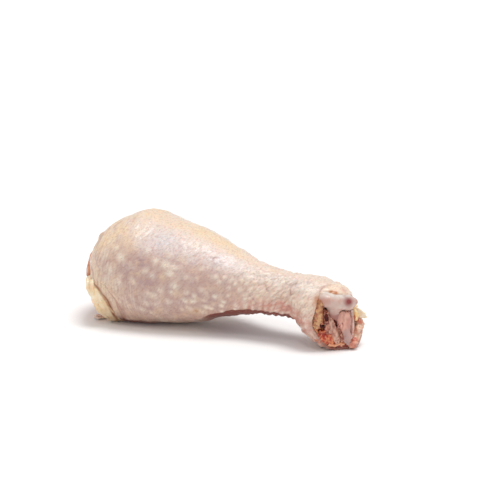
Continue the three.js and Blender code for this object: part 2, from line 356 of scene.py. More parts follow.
class Shader:
    """A material's node tree, with the few steps that all the finishes share."""

    def __init__(self, name: str) -> None:
        """Starts an empty material."""
        self.material = bpy.data.materials.new(name)
        self.material.use_nodes = True
        self.tree = self.material.node_tree
        self.tree.nodes.clear()
        self.places = add_node(self.tree, "ShaderNodeTexCoord").outputs["Object"]

    def value(self, name: str) -> Socket:
        """The number painted on the mesh under that name."""
        return add_node(self.tree, "ShaderNodeAttribute", {"attribute_name": name}).outputs["Fac"]

    def noise(self, size: float, detail: float = 2, stretch: Triple = (1, 1, 1), lean: float = 0.0) -> Socket:
        """Makes noise.

        Args:
            size: width of a feature in millimetres.
            detail: how many finer layers lie on it.
            stretch: how far it is drawn out along its axes.
            lean: turn of its axes about Y, in degrees.

        Returns:
            The noise, from 0 to 1.
        """
        inputs = {"Vector": self.places, "Scale": stretch, "Rotation": (0, math.radians(lean), 0)}
        spread = add_node(self.tree, "ShaderNodeMapping", {"vector_type": "TEXTURE"}, inputs)
        inputs = {"Vector": spread.outputs[0], "Scale": 1 / (size * MM), "Detail": detail}
        return add_node(self.tree, "ShaderNodeTexNoise", None, inputs).outputs[0]

    def span(self, value: Any, low: float, high: float, to: tuple[float, float] = (0, 1)) -> Socket:
        """Turns a value that goes from low to high into one that goes smoothly over the range in to."""
        inputs = {0: value, 1: low, 2: high, 3: to[0], 4: to[1]}
        settings = {"interpolation_type": "SMOOTHSTEP"}
        return add_node(self.tree, "ShaderNodeMapRange", settings, inputs).outputs[0]

    def sum(self, *parts: tuple[Any, Any]) -> Socket:
        """Adds outputs, each times its weight, which may be an output too."""
        total: Any = 0.0
        for value, weight in parts:
            inputs = {0: value, 1: weight, 2: total}
            total = add_node(self.tree, "ShaderNodeMath", {"operation": "MULTIPLY_ADD"}, inputs).outputs[0]
        return total

    def lay(self, base: str, *layers: tuple[Socket, str]) -> Socket:
        """Lays colours over a base, each with the output that says how much of it shows."""
        colour: Any = linear(base)
        settings = {"data_type": "RGBA", "blend_type": "MIX"}
        for share, over in layers:
            inputs = {0: share, 6: colour, 7: linear(over)}
            colour = add_node(self.tree, "ShaderNodeMix", settings, inputs).outputs[2]
        return colour

    def finish(self, colour: Any, height: Any, bump_mm: float, surface: dict[str, Any]) -> bpy.types.Material:
        """Closes the material.

        Args:
            colour: the output that holds the base colour.
            height: the output that holds the bump, from 0 to 1.
            bump_mm: the bump's height in millimetres.
            surface: the shader's other inputs.

        Returns:
            The material.
        """
        raised = add_node(self.tree, "ShaderNodeBump", None, {"Height": height, "Distance": bump_mm * MM})
        inputs = {"Base Color": colour, "Normal": raised.outputs[0], **surface}
        shader = add_node(self.tree, "ShaderNodeBsdfPrincipled", None, inputs)
        add_node(self.tree, "ShaderNodeOutputMaterial", None, {"Surface": shader.outputs[0]})
        return self.material


@dataclass(frozen=True, kw_only=True)
class Moist:
    """How light meets moist tissue: some scatters inside it, and a film of juice lies on top."""

    roughness: float = 0.3
    ior: float = 1.4
    scatter: float = 0.25
    scatter_mm: float = 1.0
    scatter_colour: Triple = (1.0, 0.4, 0.25)
    coat: float = 0.4
    coat_roughness: float = 0.1

    def surface(self) -> dict[str, Any]:
        """The shader's inputs by name."""
        return {
            "Roughness": self.roughness,
            "IOR": self.ior,
            "Subsurface Weight": self.scatter,
            "Subsurface Radius": self.scatter_colour,
            "Subsurface Scale": self.scatter_mm * MM,
            "Coat Weight": self.coat,
            "Coat Roughness": self.coat_roughness,
        }


@dataclass(frozen=True)
class BroilerSkin(Moist):
    """Raw broiler skin: thin, moist and half clear, so the meat shows mauve and the fat under it cream."""

    name: str = "raw_broiler_skin"
    plain: str = "e6d2c4"
    mauve: str = "bf9f95"
    grape: str = "a4858c"
    tan: str = "dabfa4"
    # painted sheen: a whitish tone on the belly's shoulder, where the broad highlight of the overhead light
    # falls
    painted_sheen: str = "d8cdce"
    cream: str = "ebd0ae"
    # rosy: the skin's own speckles, patches and sore near the hock, and painted shade on the lower side and
    # underside
    rosy_and_shade: str = "cd8f7e"
    pale: str = "efe2d0"
    # crease: the skin's darker tone in its folds, laid also as painted shade in the wrinkles and creases
    crease: str = "a8766a"
    fleck: str = "b4703e"
    # dark red laid as painted shade beneath the leg, along the floor and under the lip, and along the bottom
    # of the hock rim
    blood: str = "7c3222"
    blotch_mm: float = 5.0
    mottle_mm: float = 4.5
    pore_mm: float = 0.6
    wrinkle_mm: float = 0.55
    stripe_mm: float = 0.9
    bump_mm: float = 0.3
    roughness: float = 0.38
    scatter: float = 0.3
    scatter_mm: float = 1.2
    scatter_colour: Triple = (1.0, 0.45, 0.3)
    coat: float = 0.35
    coat_roughness: float = 0.17

    def material(self) -> bpy.types.Material:
        """Builds the skin from the numbers painted on its mesh."""
        s = Shader(self.name)
        blotch = s.noise(self.blotch_mm, 3)
        mottle = s.noise(self.mottle_mm, 4)
        pores = s.noise(self.pore_mm, 2)
        wrinkles = s.noise(self.wrinkle_mm, 2, (3.2, 2.0, 1.0), -45)
        stripes = s.noise(self.stripe_mm, 2, (1, 7, 7))
        mauve, striped = s.value("mauve"), s.value("striped")
        colour = s.lay(
            self.plain,
            (mauve, self.mauve),
            (s.sum((s.span(blotch, 0.5, 0.7, (0, 0.48)), mauve)), self.grape),
            (s.sum((s.span(blotch, 0.48, 0.3, (0, 0.5)), mauve)), self.tan),
            (s.value("tan"), self.tan),
            (s.span(mottle, 0.5, 0.68, (0, 0.35)), self.cream),
            (s.span(mottle, 0.5, 0.34, (0, 0.2)), self.pale),
            (s.value("rosy_and_shade"), self.rosy_and_shade),
            (s.value("painted_sheen"), self.painted_sheen),
            (s.value("cream"), self.cream),
            (s.value("dots_and_painted_light"), self.pale),
            # the dips of the fine wrinkles and stripes take the crease colour, partly as painted shade, and
            # the stripes' crests a paler tone
            (s.span(wrinkles, 0.52, 0.34, (0, 0.3)), self.crease),
            (s.sum((s.span(stripes, 0.5, 0.34, (0, 0.36)), striped)), self.crease),
            (s.sum((s.span(stripes, 0.55, 0.7, (0, 0.4)), striped)), self.pale),
            (s.value("creases"), self.crease),
            (s.value("flecks"), self.fleck),
            # dark red: painted shade, and partly the rim's own colour at the bottom of the hock rim
            (s.value("bloody"), self.blood),
        )
        roughness = s.span(pores, 0.3, 0.7, (self.roughness - 0.06, self.roughness + 0.08))
        height = s.sum((pores, 0.4), (wrinkles, 0.9), (s.sum((stripes, striped)), 0.7))
        return s.finish(colour, height, self.bump_mm, self.surface() | {"Roughness": roughness})


@dataclass(frozen=True)
class WetTissue(Moist):
    """Cut tissue under a film of juice: patches of two colours, small spots of a third and a wet shine."""

    name: str
    light: str
    deep: str
    spot: str
    patch_mm: float = 3.0
    spot_mm: float = 1.0
    spots: float = 0.3
    stretch: Triple = (1, 1, 1)
    bump_mm: float = 0.15
    tint: str = "b49298"
    # dark red for pooled blood and for painted shade in hollows and depths
    blood: str = "651c14"

    def material(self) -> bpy.types.Material:
        """Builds the tissue, with its painted tint and the dark red in its depths and hollows, partly pooled
        blood and partly painted shade.
        """
        s = Shader(self.name)
        patches = s.noise(self.patch_mm, 3, self.stretch)
        spots = s.noise(self.spot_mm, 2, self.stretch)
        fine = s.noise(self.spot_mm / 2, 2, self.stretch)
        edge = 0.72 - 0.3 * self.spots
        colour = s.lay(
            self.light,
            (s.span(patches, 0.4, 0.62), self.deep),
            (s.span(spots, edge, edge + 0.08), self.spot),
            (s.value("tint"), self.tint),
            (s.value("blood"), self.blood),
        )
        return s.finish(colour, s.sum((spots, 0.6), (fine, 0.4)), self.bump_mm, self.surface())


@dataclass(frozen=True)
class JointCartilage(Moist):
    """Hyaline cartilage on the joint head: smooth and milky, pinker off the cap and bruised at its end, with
    painted light and shade: milky on top, pinker lower down.
    """

    name: str = "hyaline_cartilage"
    milky: str = "dad1c8"
    pinkish: str = "c08f80"
    neck: str = "a26c60"
    bruise: str = "8a3c3a"
    cloud_mm: float = 2.6
    bump_mm: float = 0.1
    roughness: float = 0.25
    scatter: float = 0.3
    scatter_mm: float = 1.2
    scatter_colour: Triple = (1.0, 0.7, 0.6)
    coat: float = 0.5
    coat_roughness: float = 0.13

    def material(self) -> bpy.types.Material:
        """Builds the cartilage from the numbers painted on its mesh."""
        s = Shader(self.name)
        cloud = s.noise(self.cloud_mm, 3)
        colour = s.lay(
            self.milky,
            (s.value("pink"), self.pinkish),
            (s.span(cloud, 0.42, 0.7, (0, 0.5)), self.pinkish),
            (s.value("neck"), self.neck),
            (s.value("bruise"), self.bruise),
        )
        return s.finish(colour, cloud, self.bump_mm, self.surface())


# ---------- the leg's form ----------


def degrees(turn: Array) -> Array:
    """A turn in degrees, from 0 to 360."""
    return np.degrees(turn) % 360


@dataclass(frozen=True)
class LegForm:
    """The outline that skin and meat share, as the CAD model has it."""

    at: Row = (-47, -38, -27, -12, 4, 19, 30, 37, 44, 53, 62)
    top: Row = (42.8, 46.2, 44.4, 41.2, 35.4, 30.0, 28.4, 28.3, 28.4, 26.5, 26.1)
    under: Row = (-3.6, -2.5, -1.1, 2.0, 5.4, 9.2, 9.7, 8.8, 2.8, -0.6, -0.4)
    half: Row = (25.4, 26.8, 25.0, 21.3, 15.8, 10.5, 9.0, 9.1, 11.7, 12.0, 11.4)
    reach: float = 15.75
    fullness: float = 1.52
    arc: float = 24.0
    settling: float = 0.8
    droop_length: float = 4.6
    droop_depth: float = 2.6
    knee_run: float = -12.0
    knee_back: float = 14.8
    knee_cuts: Rows = ((149, 25, 6.5), (175, 12, 6), (180, 26, 4.5), (216, 20, -2.2))  # turn, length, depth
    hock_x: float = 54.4
    hock_lobes: Rows = ((88, 36, 3.4), (134, 15, -1.3), (286, 20, 1.7))  # turn, width, height

    @property
    def start(self) -> float:
        """X of the first station, where runs are counted from."""
        return self.at[0]

    def profile(self, x: Array) -> list[Array]:
        """Height of the top and of the underside, and the half width, at that x."""
        station = np.maximum(x, self.start)
        return [through(self.at, values, station) for values in (self.top, self.under, self.half)]

    def girth(self, run: Array) -> Array:
        """Length round the leg at that run."""
        top, under, half = self.profile(self.start + run)
        return 2 * np.pi * np.sqrt((half**2 + ((top - under) / 2) ** 2) / 2)

    def point(self, run: Array, turn: Array, inset: Array | float = 0.0) -> Array:
        """Points of the leg's surface.

        Args:
            run: length from the first station, negative on the rounded knee end.
            turn: angle round the leg.
            inset: depth below the skin.

        Returns:
            The points in millimetres.
        """
        bend = np.clip(-run / self.arc, 0, 1) * np.pi / 2
        power = 2 / self.fullness
        x = np.where(run < 0, self.start - (self.reach - inset) * np.sin(bend) ** power, self.start + run)
        shrink = np.maximum(np.cos(bend), 0) ** power
        top, under, half = self.profile(x)
        half = (half - inset) * shrink
        tall = ((top - under) / 2 - inset) * shrink
        z = (top + under) / 2 + tall * np.sin(turn)
        floor = np.maximum(inset, 0)
        above, soft = z - floor, self.settling
        settled = np.where(above > soft, above, np.where(above < -soft, 0, (above + soft) ** 2 / (4 * soft)))
        return np.stack(np.broadcast_arrays(x, half * np.cos(turn), floor + settled), -1)

    def knee_rim(self, turn: Array) -> Array:
        """Run of the skin's edge at the knee, cut back where the lip turns out on the near side."""
        a = degrees(turn)
        near = sum(depth * rise(a, start, length) for start, length, depth in self.knee_cuts)
        back = self.knee_back * rise(a, 250, 56)
        return self.knee_run + near - back + 0.5 * np.sin(5 * turn) + 0.3 * np.sin(11 * turn + 1)

    def hock_rim(self, turn: Array) -> Array:
        """Run of the skin's edge at the hock."""
        a = degrees(turn)
        lobes = sum(height * bump(a, at, width) for at, width, height in self.hock_lobes)
        lobes = lobes + 0.3 * np.sin(7 * turn) - 2.3 * bump((a + 180) % 360, 196, 25)
        wave = 5 * np.cos(turn) - 1.5 * np.sin(turn) - 1.3 * np.cos(2 * turn) - 0.8 * np.sin(2 * turn)
        return self.hock_x - self.start + wave + lobes

    def under_lip(self, turn: Array) -> Array:
        """Share of the knee rim under the lip: 1 along it and 0 away from it."""
        return rise(degrees(turn), 178, 8) * (1 - rise(degrees(turn), 248, 14))

    def skin_point(self, run: Array, turn: Array, inset: Array | float = 0.0) -> Array:
        """Points of the skin, which hangs down over the joint along the top of the hock rim."""
        past = np.clip(1 - (self.hock_rim(turn) - run) / self.droop_length, 0, 1.2)
        sag = self.droop_depth * past**2 * bump(degrees(turn), 80, 42)
        return self.point(run, turn, inset + sag)


def ring_runs(share: Array, knee: Array, hock: Array) -> Array:
    """Spaces rings along the leg: the end ones follow the edges and those between stand straight across.

    Args:
        share: how far along each ring lies, from 0 to 1.
        knee: run of the skin's edge at the knee at each turn.
        hock: run of its edge at the hock.

    Returns:
        The run of each point.
    """
    first, last, straight_from, straight_to = 0.2, 0.84, 12.0, 88.0
    near_knee = mix(knee, straight_from, share / first)
    between = mix(straight_from, straight_to, (share - first) / (last - first))
    near_hock = mix(straight_to, hock, (share - last) / (1 - last))
    return np.where(share < first, near_knee, np.where(share > last, near_hock, between))


def outward(rings: Array) -> Array:
    """Outward normals of rings of points."""
    along = np.gradient(rings, axis=0)
    round_it = np.roll(rings, -1, 1) - np.roll(rings, 1, 1)
    return unit(np.cross(round_it, along))


# ---------- skin ----------


@dataclass(frozen=True)
class Follicles:
    """Feather follicles in slanting rows, as many round the shank as the belly, so they crowd there."""

    around: int = 26
    slant: float = 0.5
    stretch: float = 1.1
    uneven: float = 0.36
    squeeze: float = 0.9
    narrowed: float = 0.45
    drawn_out: float = 0.3
    rows: int = 128
    seed: int = 11
    runs: tuple[float, float, float] = (-26.0, 112.0, 0.5)  # first, last and step

    def read(self, form: LegForm, run: Array, turn: Array, lean: Array) -> tuple[Array, Array]:
        """Finds the follicles nearest to points of the skin.

        Args:
            form: the leg's form, whose girth sets the spacing.
            run: run of each point.
            turn: turn of each point.
            lean: how far the follicles are drawn out into slanting ridges, from 0 to 1.

        Returns:
            The distance to the nearest follicle, in spacings, and that one's own random size from -1 to 1.
        """
        table = np.arange(*self.runs)
        rows = np.cumsum(self.runs[2] * self.around / (self.stretch * form.girth(table)))
        j = turn / (2 * np.pi) * self.around
        i = np.interp(run, table, rows) + self.slant * j
        lap = int(self.slant * self.around)
        draws = np.random.default_rng(self.seed).uniform(-1, 1, (self.rows, self.around, 3))
        nearest, size = np.full(run.shape, np.inf), np.zeros(run.shape)
        for down, over in product((-1, 0, 1), (-2, -1, 0, 1, 2)):
            row, column = np.floor(i).astype(int) + down, np.floor(j).astype(int) + over
            draw = draws[(row - lap * (column // self.around)) % self.rows, column % self.around]
            across = column + 0.5 + 0.5 * (row % 2) + self.uneven * draw[..., 0] - j
            beyond = row + 0.5 + self.uneven * draw[..., 1] - i
            ahead, beside = beyond - self.slant * across, self.squeeze * across
            ridge = (ahead - beside) * (1 - self.narrowed * lean)
            gap = np.hypot(ridge, (ahead + beside) * (1 + self.drawn_out * lean)) / math.sqrt(2)
            size = np.where(gap < nearest, draw[..., 2], size)
            nearest = np.minimum(gap, nearest)
        return nearest, size


@dataclass(frozen=True)
class Crease:
    """A wrinkle pressed into the skin along a few places, each an x in millimetres and a turn in degrees, its
    middle painted darker, partly as painted shade.
    """

    path: Rows
    depth: float = 0.2
    width: float = 0.5
    dark: float = 0.4
    sides: float = 2.4
    reach: float = 12.0
    steps: int = 30

    def share(self, form: LegForm, places: Array) -> tuple[Array, Array]:
        """How far in the wrinkle points lie.

        Args:
            form: the leg's form, which the wrinkle follows.
            places: the points.

        Returns:
            1 along its middle, falling to 0 beside it and at its ends, and the like for its raised sides.
        """
        x, turn = np.array(self.path, float).T
        u = np.linspace(0, 1, self.steps)
        knots = np.linspace(0, 1, len(x))
        line = form.point(through(knots, x, u) - form.start, np.radians(through(knots, turn, u)))
        close = np.linalg.norm(places - line.mean(0), axis=-1) < self.reach
        gaps = np.linalg.norm(places[close][:, None] - line, axis=-1)
        fade = np.sin(np.pi * np.clip(u[gaps.argmin(1)], 0.04, 0.96)) ** 0.5
        middle, sides = np.zeros(places.shape[:-1]), np.zeros(places.shape[:-1])
        middle[close] = fade * bump(gaps.min(1), 0, self.width)
        sides[close] = fade * bump(gaps.min(1), 0, self.sides * self.width)
        return middle, sides


CREASES = (
    Crease(((22.3, 127), (24.5, 149), (26.3, 162), (27.4, 151), (27.6, 130)), 0.5, 0.6, 0.3),
    Crease(((35.8, 136), (37.0, 164)), 0.6, 0.5, 0.6),
    Crease(((23.9, 184), (26.3, 164)), 0.4, 0.6, 0.2),
    Crease(((29.6, 173), (33.6, 141)), 0.45, 0.6, 0.25),
    Crease(((31.8, 153), (35.2, 116)), 0.4, 0.6, 0.25),
    Crease(((34.8, 178), (39.4, 145)), 0.4, 0.6, 0.25),
    Crease(((34.8, 146), (39.3, 117)), 0.4, 0.7, 0.4),
    Crease(((27.4, 192), (31.8, 169)), 0.4, 0.6, 0.2),
    Crease(((50.9, 148), (49.9, 136), (49.1, 122), (49.9, 110), (51.5, 95)), 0.4, 0.6, 0.6),
    Crease(((-16.7, 138), (-13.9, 127)), 0.24, 0.45, 0.1),
    Crease(((-13.7, 145), (-11.0, 132)), 0.24, 0.45, 0.1),
    Crease(((-8.1, 133), (-6.2, 118)), 0.26, 0.45, 0.1),
    Crease(((-6.3, 141), (-4.3, 122)), 0.26, 0.45, 0.1),
    Crease(((-4.2, 145), (-2.5, 130)), 0.26, 0.45, 0.1),
    Crease(((1.0, 132), (1.6, 127), (3.0, 125)), 0.24, 0.45, 0.6),
)


@dataclass(frozen=True)
class SkinMap:
    """Where the points of the smooth skin lie, and their shares of its regions, alike on both sides."""

    run: Array
    turn: Array
    places: Array
    a: Array  # their turn, in degrees
    up: Array  # how far they face up, in degrees
    off_knee: Array  # millimetres from the edge at the knee
    off_hock: Array  # millimetres from the edge at the hock
    belly: Array
    shank: Array
    knee: Array
    top: Array
    shoulder: Array
    side: Array
    low: Array
    beneath: Array
    calm: Array


@dataclass(frozen=True)
class Spot:
    """A spot on the skin at a turn in degrees and a run, with its reach round and along the leg."""

    turn: float
    run: float
    wide: float
    long: float
    strength: float = 1.0
    tilt: float = 0.0

    def share(self, at: SkinMap) -> Array:
        """The spot's strength at each point."""
        a = at.a + self.tilt * (at.run - self.run)
        return self.strength * bump(a, self.turn, self.wide) * bump(at.run, self.run, self.long)


@dataclass
class SkinSleeve:
    """The sleeve of skin, with its goosebumps, wrinkles and folds as real relief."""

    form: LegForm
    follicles: Follicles = field(default_factory=Follicles)
    grain: Grain = field(default_factory=lambda: Grain(3))
    thickness: float = 1.2
    around: int = 280
    rings: int = 312
    edge_rings: int = 5
    inner_rings: int = 24
    lump_height: float = 0.45
    bump_height: float = 0.3
    ripple_height: float = 0.4
    hatch_height: float = 0.13
    wrinkle_depth: float = 0.34
    knee_depth: float = 0.42
    hem_height: float = 0.4
    knob: Spot = Spot(121, -8.6, 4.5, 1.6, 0.75)
    knob_cream: Spot = Spot(121, -8.6, 7, 2.4, 0.8)
    pimple: Spot = Spot(135, 49.6, 4.5, 1.2, 0.55)
    waist_cream: Spot = Spot(84, 42, 16, 10, 0.5)
    waist_tan: Spot = Spot(217, 43, 7, 4)
    waist_fleck: Spot = Spot(216, 42.7, 3.5, 0.9, 0.6)
    top_flecks: Spot = Spot(112, 3, 8, 8)
    hock_sore: Spot = Spot(88, 103.4, 8, 1.4)
    hock_fleck: Spot = Spot(112.5, 100.9, 3.6, 1.3, 2.4, 2.6)

    def chart(self, run: Array, turn: Array) -> SkinMap:
        """Maps the points of the smooth skin with these runs and turns."""
        places = self.form.skin_point(run, turn)
        x, up = self.form.start + run, np.degrees(np.arcsin(np.sin(turn)))
        edge, span = mix(-54, -36, rise(x, -10, 24)), rise(x, -10, 10) * (1 - rise(x, 34, 10))
        off_hock = self.form.hock_rim(turn) - run
        return SkinMap(
            run, turn, places, degrees(turn), up,
            off_knee=run - self.form.knee_rim(turn),
            off_hock=off_hock,
            belly=1 - rise(x, -4, 22),
            shank=rise(x, 4, 22),
            knee=1 - rise(x, -42, 18),
            top=rise(up, 66, 18),
            shoulder=bump(up, 52, 17),
            side=1 - rise(up, 24, 36),
            low=rise(up, -26, -24),
            # beneath: the band on the shank's underside that takes painted shade
            beneath=ease((edge - up + 4 * self.grain.read(places + 90, 5)) / 5) * span,
            calm=(1 - rise(off_hock, 1, 5)) * (0.45 + 0.25 * bump(up, 90, 40)),
        )

    def goosebumps(self, at: SkinMap) -> tuple[Array, Array]:
        """Raises the skin at its follicles.

        Args:
            at: the points of the smooth skin.

        Returns:
            The height in millimetres and the share of pale at each point: the follicle dots, and on the shank
            painted light on the tops of the bumps and on its top and shoulder.
        """
        wander = 0.9 * self.grain.read(at.places, 9)
        sway = 0.04 * self.grain.read(at.places + 50, 8)
        nearest, size = self.follicles.read(self.form, at.run + wander, at.turn + sway, at.shank)
        spread = 0.27 + 0.06 * size + 0.08 * at.shank
        bumps = bump(nearest, 0, spread) * rise(size, -1.15, 0.8)
        knee_fade = rise(at.off_knee, 5, 14)
        strength = knee_fade * (1 - 0.85 * at.top) * (1 - 0.5 * at.shoulder * at.belly)
        uneven = 0.55 + 0.45 * self.grain.read(at.places + 33, 7)
        pale = 1.35 * bumps * knee_fade * at.side * (1 - at.shank) * uneven
        # painted light: on the shank the tops of the bumps are laid paler
        pale += 0.75 * bumps * at.shank * (1 - at.top)
        # painted light: the shank's top and shoulder are laid paler
        pale += 0.45 * at.shank * np.maximum(at.shoulder, at.top)
        return self.bump_height * bumps * strength * (0.9 + 1.3 * at.shank), pale

    def wrinkles(self, at: SkinMap) -> tuple[Array, Array]:
        """Presses fine slanting wrinkles into the shank, and wrinkles that follow the rim into the knee end.

        Args:
            at: the points of the smooth skin.

        Returns:
            The height in millimetres and the share of crease colour, partly painted shade, along the wrinkles
            at each point.
        """
        read, off_top = self.grain.read, 1 - 0.6 * at.top
        x, y, z = np.moveaxis(at.places, -1, 0)
        slant = np.stack([(x - z) / math.sqrt(2), y, (x + z) / math.sqrt(2)], -1)
        patches = ease(0.5 + 0.9 * read(at.places + 70, 8))
        amount = 0.2 + 0.8 * at.shank + 0.35 * at.shoulder * at.belly
        shank = amount * rise(at.off_knee, 10, 12) * off_top
        ripple = read(slant + 11, (1.7, 2.6, 4.2))
        lines = ease(1 - np.abs(read(slant, (2.2, 4, 6))) / 0.13) * patches * shank
        lines += 0.7 * ease(1 - np.abs(read(at.places + 44, 2.6)) / 0.1) * (1 - patches) * shank
        rim = np.stack([at.off_knee, 0.9 * y, 0.9 * z], -1)
        near_knee = 1 - rise(at.off_knee, 1, 13)
        folds = read(rim, (1.5, 9, 9)) + 0.5 * read(rim + 9, (0.8, 6, 6))
        fine = read(rim + 5, (1.1, 7, 7)) * at.belly * off_top * (1 - rise(at.off_knee, 8, 22))
        knee_lines = ease(-folds / 0.5) * near_knee * (1 - at.top)
        hatch = read(slant + 31, (1.1, 3, 3)) * (at.shoulder + 0.4 * at.top) * (1 - 0.5 * at.shank)
        height = self.ripple_height * ripple * shank + self.hatch_height * hatch - self.wrinkle_depth * lines
        height += self.knee_depth * folds * near_knee + 0.07 * fine
        return height, np.clip(0.3 * lines + 0.55 * knee_lines, 0, 1)

    def marks(self, at: SkinMap) -> tuple[Array, Array]:
        """Adds the single creases, the pimple on the shank and the knob at the knee.

        Args:
            at: the points of the smooth skin.

        Returns:
            The height in millimetres and the share of crease colour, partly painted shade, at each point.
        """
        height = self.knob.share(at) + self.pimple.share(at)
        dark = np.zeros(at.run.shape)
        for crease in CREASES:
            middle, sides = crease.share(self.form, at.places)
            height += crease.depth * (0.6 * sides - middle)
            dark = np.maximum(dark, crease.dark * middle)
        return height, dark

    def blood(self, at: SkinMap, streaks: Array) -> Array:
        """Share of dark red: painted shade beneath the shank, along the floor and under the lip, and a dark
        red line along the bottom of the hock rim, partly its own colour and partly painted shade.
        """
        # painted shade: a dark red line where the belly's underside meets the floor
        contact = rise(at.places[..., 2], 3.3, -1.5) * rise(at.a, 200, 10) * rise(at.a, 258, -12)
        contact *= rise(at.run, 30, -14) * at.belly
        # painted shade along the knee edge under the rolled lip
        under_lip = 0.8 * self.form.under_lip(at.turn) * bump(at.off_knee, 0.4, 1.0) * streaks
        # dark red along the bottom of the hock rim, partly its own colour and partly painted shade by the
        # floor
        rim = bump(at.a, 244, 44) * bump(at.off_hock, -0.4, 1.2)
        # painted shade on the band under the shank
        return 0.93 * at.beneath + 0.85 * np.maximum(contact, under_lip) + 0.9 * rim

    def flecks(self, at: SkinMap, streaks: Array) -> Array:
        """Share of rusty flecks: on top, at the waist, on the hock and along both edges."""
        share = 0.4 * self.top_flecks.share(at) * rise(streaks, 0.5, 0.3)
        share += self.waist_fleck.share(at) + self.hock_fleck.share(at)
        share += 0.8 * bump(at.a, 142, 13) * bump(at.off_hock, 0.2, 1.3)
        share += 0.5 * bump(at.a, 178, 26) * bump(at.off_hock, -0.6, 0.6)
        return share + 0.8 * self.form.under_lip(at.turn) * bump(at.off_knee, -0.2, 0.9)

    def tones(self, at: SkinMap) -> dict[str, Array]:
        """The shares by name that the finish reads for its colours."""
        patches = 0.5 + 0.5 * self.grain.layered(at.places + 80, 12)
        small = 0.5 + 0.5 * self.grain.layered(at.places + 15, 4, 2)
        streaks = 0.5 + 0.5 * self.grain.read(at.places * (1, 0.35, 0.35) + 27, 1.6)
        speckles = rise(self.grain.read(at.places + 120, 0.8), 0.35, 0.3) * (1 - rise(at.off_hock, 4, 14))
        near_knee, near_hock = 1 - rise(at.off_knee, 1, 12), 1 - rise(at.off_hock, 1, 6)
        off_shank, off_low = 1 - at.shank, 1 - 0.6 * at.low
        sore = self.hock_sore.share(at)
        cap = bump(at.a, 104, 22) * bump(at.off_hock, 2, 3)
        paler = 1 - 0.65 * (1 - rise(at.off_knee, 3, 20)) * rise(at.up, -24, 24)
        mauve = at.side * off_shank * paler * (1 - 0.3 * near_knee) * (1.12 - 0.3 * patches)
        cream = at.top * (0.1 + 0.5 * small + 0.5 * patches) * (0.3 + 0.7 * off_shank)
        cream += 0.8 * at.knee * ease(small * 2 - 0.6) * rise(at.up, 22, 20)
        cream += 0.6 * near_knee * (0.25 + 0.75 * streaks) + 0.4 * at.knee * at.shoulder * streaks
        cream += self.waist_cream.share(at) + self.knob_cream.share(at) + 0.6 * cap
        tan = at.knee * (0.1 + 0.3 * streaks) + 0.3 * at.low + self.waist_tan.share(at)
        tan += 0.4 * at.shank * bump(at.up, 6, 24) + 0.4 * cap
        # painted shade: pinker and darker where the shank and belly face down and under the shank; the
        # speckles and the sore are the skin's own colour
        rosy_and_shade = at.shank * (0.28 + 1.2 * rise(at.up, 12, -32)) * (0.25 + small) * (1 - 0.3 * near_hock)
        rosy_and_shade += 0.25 * at.low * off_shank + 0.5 * speckles + sore
        rosy_and_shade += 0.5 * bump(at.a, 262, 34) * at.shank * (1 - near_hock)
        shares = {
            "mauve": np.clip(mauve, 0, 1) * (1 - 0.35 * at.low),
            "tan": tan,
            "striped": (1 - rise(at.off_knee, 6, 24)) * (1 - 0.6 * at.top),
            # painted highlight on the shoulder of the belly
            "painted_sheen": 0.9 * at.shoulder * (1 - 0.8 * at.knee) * (0.3 + 0.7 * patches),
            "cream": np.clip(cream, 0, 1) * off_low * (1 - sore),
            "rosy_and_shade": rosy_and_shade,
            "flecks": self.flecks(at, streaks),
            # painted shade in dark red, with the hock rim's own dark bottom edge
            "bloody": self.blood(at, streaks),
        }
        return {name: np.clip(share, 0, 1) for name, share in shares.items()}

    def relief(self, at: SkinMap) -> tuple[Array, dict[str, Array]]:
        """The height of the relief at each point in millimetres, and the painted shares by name."""
        raised, dots_and_painted_light = self.goosebumps(at)
        pressed, lines = self.wrinkles(at)
        marked, dark = self.marks(at)
        lumps = self.grain.layered(at.places, 13, 2) * (1 - 0.4 * at.shank)
        hem = at.beneath * (1 - at.beneath) * 4 - 1.6 * at.beneath
        fine = (raised + pressed) * (1 - at.calm)
        height = self.lump_height * lumps + fine + marked + self.hem_height * hem
        folded = {"dots_and_painted_light": np.clip(0.8 * dots_and_painted_light, 0, 1), "creases": np.clip(lines + dark, 0, 1)}
        return height, self.tones(at) | folded

    def inside(self, turn: Array, knee: Array, hock: Array, shift: Array) -> list[Array]:
        """Makes what closes the sleeve.

        Args:
            turn: the turns round a ring.
            knee: run of the edge at the knee.
            hock: run of the edge at the hock.
            shift: how the relief has moved the outside.

        Returns:
            Rings of the rounded edge at the hock, of the inside and of the edge at the knee.
        """
        lap, half = np.linspace(0, np.pi, self.edge_rings + 2)[1:-1, None], self.thickness / 2
        depth, past = half * (1 - np.cos(lap)), half * np.sin(lap)
        hock_edge = self.form.skin_point(hock + past, turn, depth) + shift[-1]
        knee_edge = self.form.skin_point(knee - past[::-1], turn, depth[::-1]) + shift[0]
        fade = np.linspace(0, 1, self.inner_rings + 1)[:, None]
        inner = self.form.skin_point(ring_runs((1 - fade) ** 1.25, knee, hock), turn, self.thickness)
        fade = fade[..., None]
        inner += shift[-1] * np.maximum(1 - 8 * fade, 0) + shift[0] * np.maximum(8 * fade - 7, 0)
        return [hock_edge, inner, knee_edge]

    def build(self) -> Piece:
        """Makes the sleeve with its relief and its painted shares."""
        turn = turns(self.around)[None, :]
        knee, hock = self.form.knee_rim(turn), self.form.hock_rim(turn)
        run = ring_runs(np.linspace(0, 1, self.rings + 1)[:, None], knee, hock)
        at = self.chart(run, turn + 0 * run)
        height, painted = self.relief(at)
        shift = outward(at.places) * height[..., None]
        rings = np.concatenate([at.places + shift, *self.inside(turn, knee, hock, shift)])
        rings[..., 2] = np.maximum(rings[..., 2], 0)
        piece = make_piece("skin_sleeve", *shell(rings, looped=True))
        tail = len(rings) - len(run)
        paint(piece, **{name: np.pad(own, ((0, tail), (0, 0)), "edge") for name, own in painted.items()})
        return piece


# ---------- meat, lip and scrap ----------


